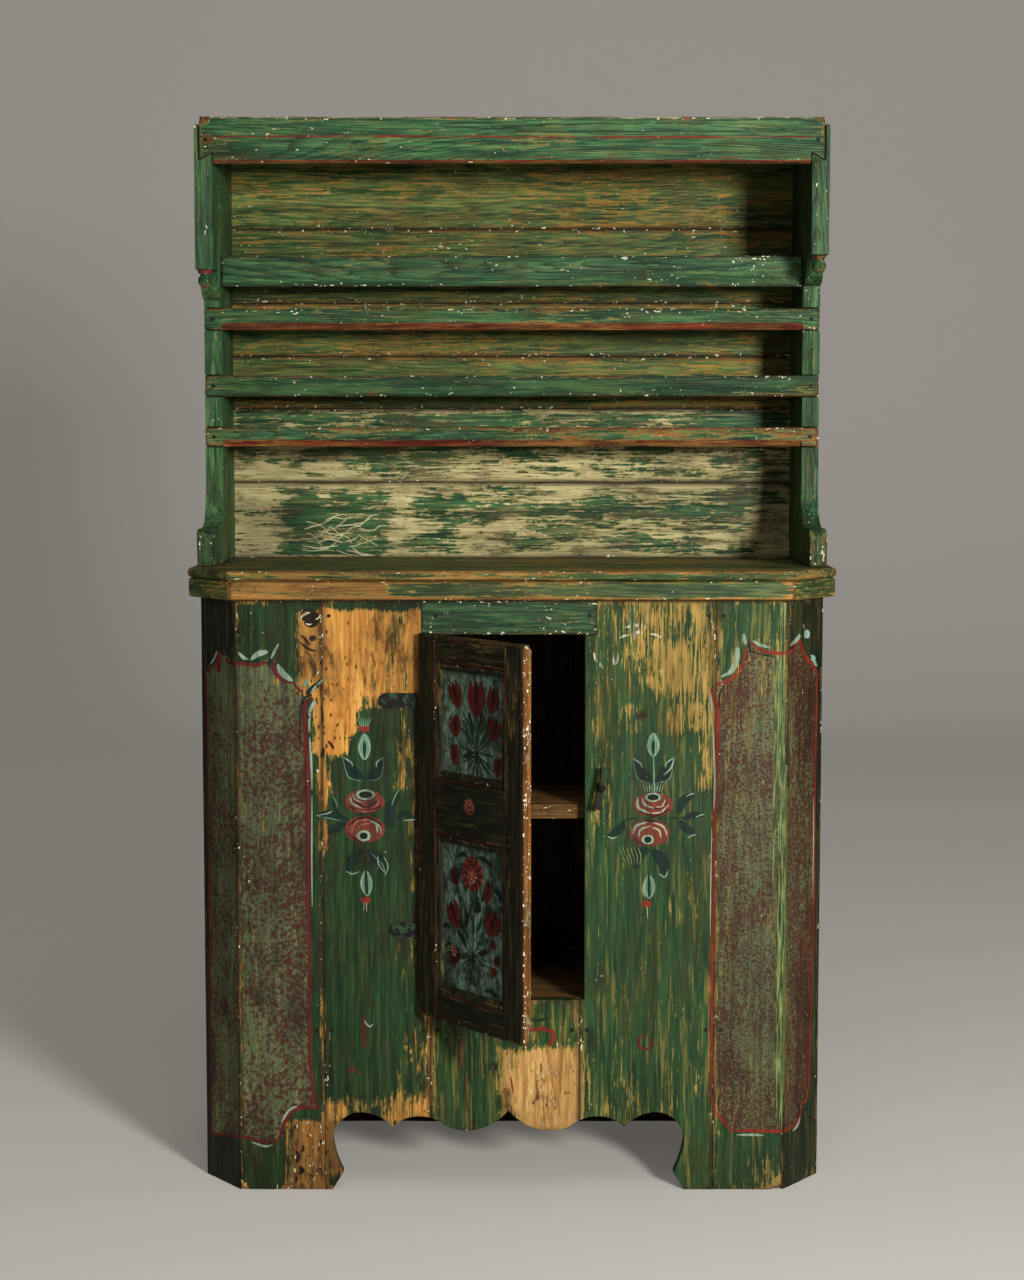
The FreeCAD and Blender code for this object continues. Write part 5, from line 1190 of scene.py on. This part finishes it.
def smallMarks():
    # odd touches of red and green under the sprays, knots and scrapes
    painter = Painter(onFront, frontShift, paintStrokes)
    painter.stroke([(-239, 290), (-241, 266), (-239, 232)], (2, 6, 1), "red", 0.8)
    painter.stroke([(-240, 282), (-232, 272), (-226, 276)], (1, 3, 1), "pale", 0.7)
    painter.stroke([(-272, 193), (-260, 203), (-247, 192)], (1, 3, 1), "red", 0.7)
    painter.arc((216, 246), (12, 12), 100, 420, (2.5, 4, 1.5), "red", 0.8)
    painter.stroke([(-80, 250), (-84, 226), (-78, 205)], (1.5, 3, 1), "brightRed", 0.7)
    painter.stroke([(-77, 190), (-75, 160), (-72, 128)], (1, 2.5, 1), "red", 0.62)
    painter.stroke([(-2, 190), (0, 175), (3, 160)], (1, 3, 1), "brightRed", 0.7)
    painter.stroke([(28, 265), (45, 268), (64, 264), (67, 250), (60, 240)], (4, 7, 4), "brightRed", 0.75)
    painter.stroke([(30, 284), (44, 282), (60, 286)], (2, 4, 2), "leaf", 0.75)
    for knotAt, size in (((210, 781), 8), ((-30, 205), 6), ((-318, 905), 4)):
        painter.blob(knotAt, (size, size * 0.62), "knot", 0.6)
        painter.arc(knotAt, (size * 1.4, size * 0.95), 20, 340, (1, 2.2, 1), "knot", 0.5)
    # the chipped knot under the counter
    painter.blob((-322, 938), (15, 8), "knot", 0.78)
    for widths, *points in (
            ((4, 11, 3), (-336, 936), (-322, 944), (-306, 938)),
            ((3, 8, 3), (-332, 930), (-320, 926), (-308, 934)),
            ((1, 4, 1), (-338, 942), (-330, 950), (-318, 950)),
            ((1, 3.5, 1), (-341, 900), (-326, 888), (-312, 884)),
            ((1, 4, 1), (-338, 910), (-330, 903), (-324, 893)),
            ((1, 3, 1), (-306, 796), (-304, 780), (-305, 764)),
            ((2, 6, 2), (-303, 728), (-304, 720), (-306, 712)),
            ((1, 4, 1), (-296, 740), (-290, 733), (-286, 726))):
        painter.stroke(points, widths, "knot", 0.74)
    for points in ([(-334, 940), (-328, 945), (-322, 946)], [(-314, 935), (-309, 938), (-306, 943)],
                   [(-330, 929), (-325, 927), (-320, 928)], [(-338, 934), (-337, 938), (-334, 944)]):
        painter.stroke(points, (0.8, 2.4, 0.8), "white", 0.7)
    for cover, widths, *points in (
            (0.52, (1, 4, 1), (172, 905), (180, 909), (188, 910)),
            (0.52, (2, 5, 1), (195, 913), (203, 915), (209, 912)),
            (0.52, (1, 4, 1), (221, 912), (231, 910), (240, 905)),
            (0.5, (1, 5, 1), (180, 922), (200, 926), (216, 921)),
            (0.42, (3, 9, 3), (196, 958), (192, 935), (196, 902)),
            (0.44, (2, 5, 2), (214, 950), (212, 938), (214, 926)),
            (0.44, (2, 6, 2), (130, 882), (137, 868), (146, 856)),
            (0.44, (4, 9, 4), (166, 886), (166, 872), (164, 862))):
        painter.stroke(points, widths, "white", cover)
    rng = random.Random(11)
    for index in range(150):
        low, high, bottom, top, tint = specks[index % len(specks)]
        u, z = rng.uniform(low, high), rng.uniform(bottom, top)
        long, wide = rng.uniform(1.5, 7), rng.uniform(1, 2.6)
        painter.stroke([(u, z), (u + rng.uniform(-1, 1), z + long / 2),
                        (u + rng.uniform(-1.5, 1.5), z + long)],
                       (wide * 0.5, wide, wide * 0.4), tint, 0.78, steps=2)
    for u, z, wide, tall in ((-350, 56, 5, 10), (-345, 34, 7, 6), (-341, 70, 3, 6), (-352, 20, 3, 5)):
        painter.stroke([(u - wide * 0.4, z - tall), (u + wide * 0.5, z - tall * 0.2),
                        (u - wide * 0.2, z + tall)], (1, wide, 0.6), "knot", 0.72)
    painter.finish("smallMarks", ["rightPaint", "leftPaint"], "z", "cupboard", "green_paint",
                   pick=lambda spot: 1 if spot.x < 0.115 else 0)


# door ornament, in mm from the hinge line and the foot of the door

hingeX, hingeY = -148.3, -408.0     # the line on which the door turns
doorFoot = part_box("door_stile_free")[0].z / mm
doorAlong = Vector((math.cos(math.radians(doorTurn)), -math.sin(math.radians(doorTurn)), 0))
doorBack = Vector((math.sin(math.radians(doorTurn)), math.cos(math.radians(doorTurn)), 0))
panelDepth, frameDepth = 2.5, -6.5      # faces of the panels and the frame, behind that line


def onDoor(depth):
    def place(x, z, lift):
        flat = Vector((hingeX, hingeY, 0)) + doorAlong * x + doorBack * (depth - lift)
        return Vector((flat.x, flat.y, doorFoot + z)) * mm
    return place


def tulip(painter, base, tip, width, tint="tulip"):
    # a cup of three petals
    (u0, z0), (u1, z1) = base, tip
    du, dz = u1 - u0, z1 - z0
    length = math.hypot(du, dz)
    su, sz = dz / length, -du / length
    painter.stroke([base, ((u0 + u1) / 2, (z0 + z1) / 2), (u0 + du * 0.86, z0 + dz * 0.86)],
                   (width * 0.3, width, width * 0.45), tint)
    for side in (-1, 1):
        painter.stroke([base, (u0 + du * 0.45 + su * side * width * 0.45,
                               z0 + dz * 0.45 + sz * side * width * 0.45),
                        (u1 + su * side * width * 0.34, z1 + sz * side * width * 0.34)],
                       (1.5, width * 0.36, 0.8), tint)
    painter.stroke([(u0 + du * 0.2, z0 + dz * 0.2), (u0 + du * 0.6, z0 + dz * 0.6), tip], (1, width * 0.3, 1),
                   "tulipDark", 0.9)
    painter.stroke([(u0 + su * width * 0.2, z0 + sz * width * 0.2),
                    (u0 + du * 0.5 + su * width * 0.42, z0 + dz * 0.5 + sz * width * 0.42),
                    (u1 + su * width * 0.25, z1 + sz * width * 0.25)], (0.4, 1.4, 0.4), "rose", 0.7)


def bouquet(painter, root, flowers, leaves, tails):
    for base, tip, width in flowers:
        bend = ((root[0] + base[0]) / 2 + (base[0] - root[0]) * 0.18, (root[1] + base[1]) / 2 - 4)
        painter.stroke([root, bend, base], (1.6, 1.4, 1.2), "stem", 0.9)
    for index, (start, tip, width) in enumerate(leaves):
        bend = ((start[0] + tip[0]) / 2 + (tip[1] - start[1]) * 0.1, (start[1] + tip[1]) / 2)
        painter.stroke([start, bend, tip], (1, width, 0.8), "leafMid" if index % 3 else "stem", 0.86)
    for tip in tails:
        painter.stroke([root, ((root[0] + tip[0]) / 2, (root[1] + tip[1]) / 2 - 2), tip], (1.6, 1.6, 0.8),
                       "stem", 0.85)
    for base, tip, width in flowers:
        tulip(painter, base, tip, width)


def panelPainter(boardName, depth=panelDepth):
    shift = boardShift(boardName)
    return Painter(onDoor(depth), lambda u: shift)


def panelFlowers():
    painter = panelPainter("door_panel_upper")
    bouquet(painter, (148, 437),
            [((148, 497), (146, 552), 35), ((103, 507), (84, 545), 25), ((185, 505), (192, 546), 23),
             ((95, 460), (90, 493), 24), ((184, 464), (199, 496), 25), ((92, 414), (90, 448), 16),
             ((199, 408), (204, 439), 18)],
            [((140, 440), (113, 429), 9), ((138, 441), (104, 446), 4), ((154, 440), (190, 438), 5),
             ((156, 431), (180, 409), 4), ((144, 446), (112, 500), 5), ((148, 448), (145, 505), 7),
             ((153, 448), (183, 504), 6), ((158, 446), (182, 468), 8), ((140, 452), (106, 476), 6),
             ((136, 466), (126, 500), 8), ((158, 470), (168, 500), 8), ((142, 470), (136, 512), 6),
             ((152, 476), (158, 516), 6), ((124, 470), (112, 488), 6), ((170, 472), (176, 490), 6)],
            [(122, 410), (136, 402), (150, 400), (164, 404), (178, 412), (118, 424), (182, 424)])
    painter.finish("panelFlowersUpper", ["panelPaint"], "mottled", "door", "panel_paint")

    painter = panelPainter("door_panel_lower")
    bouquet(painter, (137, 118),
            [((99, 156), (78, 195), 28), ((178, 156), (196, 196), 32), ((172, 206), (180, 242), 16),
             ((98, 224), (84, 250), 17), ((182, 138), (194, 147), 13), ((190, 119), (205, 118), 14),
             ((184, 104), (196, 96), 13), ((92, 106), (80, 94), 16)],
            [((148, 186), (154, 206), 9), ((167, 188), (181, 206), 9), ((126, 176), (131, 218), 8),
             ((112, 156), (100, 176), 8), ((92, 145), (80, 160), 7), ((148, 138), (177, 149), 11),
             ((152, 121), (172, 131), 10), ((128, 118), (105, 110), 10), ((150, 112), (166, 104), 9),
             ((118, 131), (95, 152), 9), ((137, 150), (134, 180), 7), ((145, 156), (160, 180), 7),
             ((120, 160), (117, 192), 8), ((109, 198), (95, 218), 8), ((202, 206), (213, 198), 7),
             ((142, 186), (146, 220), 7), ((126, 140), (118, 156), 6), ((156, 144), (166, 160), 6),
             ((160, 206), (166, 226), 6), ((120, 214), (112, 232), 6)],
            [(110, 86), (120, 76), (130, 70), (142, 70), (152, 76), (162, 84), (112, 100)])
    painter.stroke([(137, 118), (140, 170), (138, 222)], (1.8, 1.6, 1.4), "stem")
    painter.blob((136, 247), (26, 27), "bloom", 0.93)
    for turn in range(0, 360, 30):
        a = math.radians(turn)
        painter.stroke([(136 + 9 * math.cos(a), 246 + 10 * math.sin(a)),
                        (136 + 18 * math.cos(a), 247 + 19 * math.sin(a)),
                        (136 + 27 * math.cos(a), 247 + 28 * math.sin(a))], (2, 8, 3), "tulip", 0.72)
    painter.blob((136, 243), (12, 13), "bloom", 0.7)
    rng = random.Random(3)
    for _ in range(16):
        a, far = rng.uniform(0, math.tau), rng.uniform(2, 13)
        painter.blob((136 + far * math.cos(a), 242 + far * math.sin(a)), (1.3, 1.2), "cream", 0.66,
                     segments=7)
    painter.blob((90, 112), (15, 14), "tulipDark", 0.72)
    for turn in range(0, 360, 60):
        a = math.radians(turn)
        painter.blob((89 + 6 * math.cos(a), 117 + 7 * math.sin(a)), (2.4, 2.4), "pink", 0.55, segments=9)
    painter.blob((89, 117), (3, 3.4), "bloom", 0.8, segments=10)
    for points in ([(60, 150), (70, 156), (80, 152)], [(96, 268), (112, 276), (124, 272)],
                   [(150, 276), (170, 274), (190, 264)], [(190, 232), (202, 226), (208, 214)],
                   [(168, 66), (184, 70), (200, 62)], [(66, 120), (74, 124), (82, 130)]):
        painter.stroke(points, (1, 7, 1), "stem", 0.66)
    painter.finish("panelFlowersLower", ["panelPaint"], "mottled", "door", "panel_paint")


def lockRailRose():
    painter = panelPainter("door_rail_lock", frameDepth)
    for x, z in ((96, 360), (100, 340), (182, 362), (184, 340),
                 (120, 330), (160, 328), (118, 376), (164, 376)):
        painter.stroke([(139, 352), ((139 + x) / 2, (352 + z) / 2 + 2), (x, z)], (2, 9, 1), "dark", 0.9)
    painter.blob((139, 353), (15, 14), "rose", 0.95)
    painter.arc((139, 353), (14, 13), 200, 340, (1, 4, 1), "tulipDark", 0.9)
    for turn in (60, 120, 0, 180):
        a = math.radians(turn)
        painter.stroke([(139 + 4 * math.cos(a), 352 + 4 * math.sin(a)),
                        (139 + 9 * math.cos(a), 354 + 9 * math.sin(a)),
                        (139 + 13 * math.cos(a + 0.4), 355 + 12 * math.sin(a + 0.4))],
                       (0.8, 3, 0.8), "pink", 0.7)
    painter.blob((139, 350), (5, 4.5), "tulipDark")
    painter.blob((139, 350), (2, 1.8), "cream", 0.7, segments=10)
    painter.finish("lockRailRose", ["doorPaint"], "x", "door", "door_frame_paint", turn=doorTurn)


def doorLines():
    # thin dark red lines along the frame
    painter = panelPainter("door_stile_hinge", frameDepth)
    for x in (9, 47, 230, 268):
        painter.stroke([(x, 8), (x + 0.5, 200), (x - 0.4, 400), (x, 610)], (1.6, 2.4, 1.4),
                       "doorLine", 0.62, steps=12)
    for z in (7, 44, 303, 389, 577, 612):
        painter.stroke([(50, z), (110, z + 0.5), (170, z - 0.5), (226, z)], (1.4, 2.2, 1.4),
                       "doorLine", 0.62, steps=8)
    painter.finish("doorLines", ["doorPaint"], "z", "door", "door_frame_paint")


def rackPainter(boardName):
    # the rack's boards face straight to the front
    face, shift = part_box(boardName)[0].y / mm, boardShift(boardName)
    return Painter(lambda u, z, lift: Vector((u, face - lift * 0.3, z)) * mm, lambda u: shift)


def islandCrackle():
    # pale cracks through the green left on the low back board
    painter = rackPainter("rack_back_board_1")
    rng = random.Random(7)
    for _ in range(34):
        u, z = rng.uniform(-372, -268), rng.uniform(1022, 1084)
        points = [(u, z)]
        slope = rng.uniform(-0.9, 0.9)
        for _ in range(rng.randint(2, 4)):
            u += rng.uniform(8, 18)
            z += slope * rng.uniform(4, 14)
            slope += rng.uniform(-0.7, 0.7)
            points.append((u, max(1018, min(1100, z))))
        painter.stroke(points, (0.8, rng.uniform(1.4, 2.4), 0.6), "crackle", 0.82, steps=4)
    painter.finish("islandCrackle", ["creamPaint"], "x", "cupboard", "worn_back_paint")


def rackStripes():
    # a red brown line along the top rail
    painter = rackPainter("top_rail")
    painter.stroke([(-480, 1709), (-200, 1709.5), (120, 1708), (484, 1709)], (3, 4.5, 3),
                   "stripe", 0.56, steps=20)
    painter.stroke([(-484, 1676), (-100, 1676.5), (200, 1675.5), (484, 1676)], (2, 2.5, 2),
                   "stripe", 0.42, steps=20)
    painter.finish("topRailStripe", ["rackPaint"], "x", "cupboard", "green_paint")


sprayLeft()
sprayRight()
fieldBorder("fieldBorderLeft", leftBorder, "leftPaint")
fieldBorder("fieldBorderRight", rightBorder, "rightPaint")
smallMarks()
panelFlowers()
lockRailRose()
doorLines()
rackStripes()
islandCrackle()
print("ornament painted")
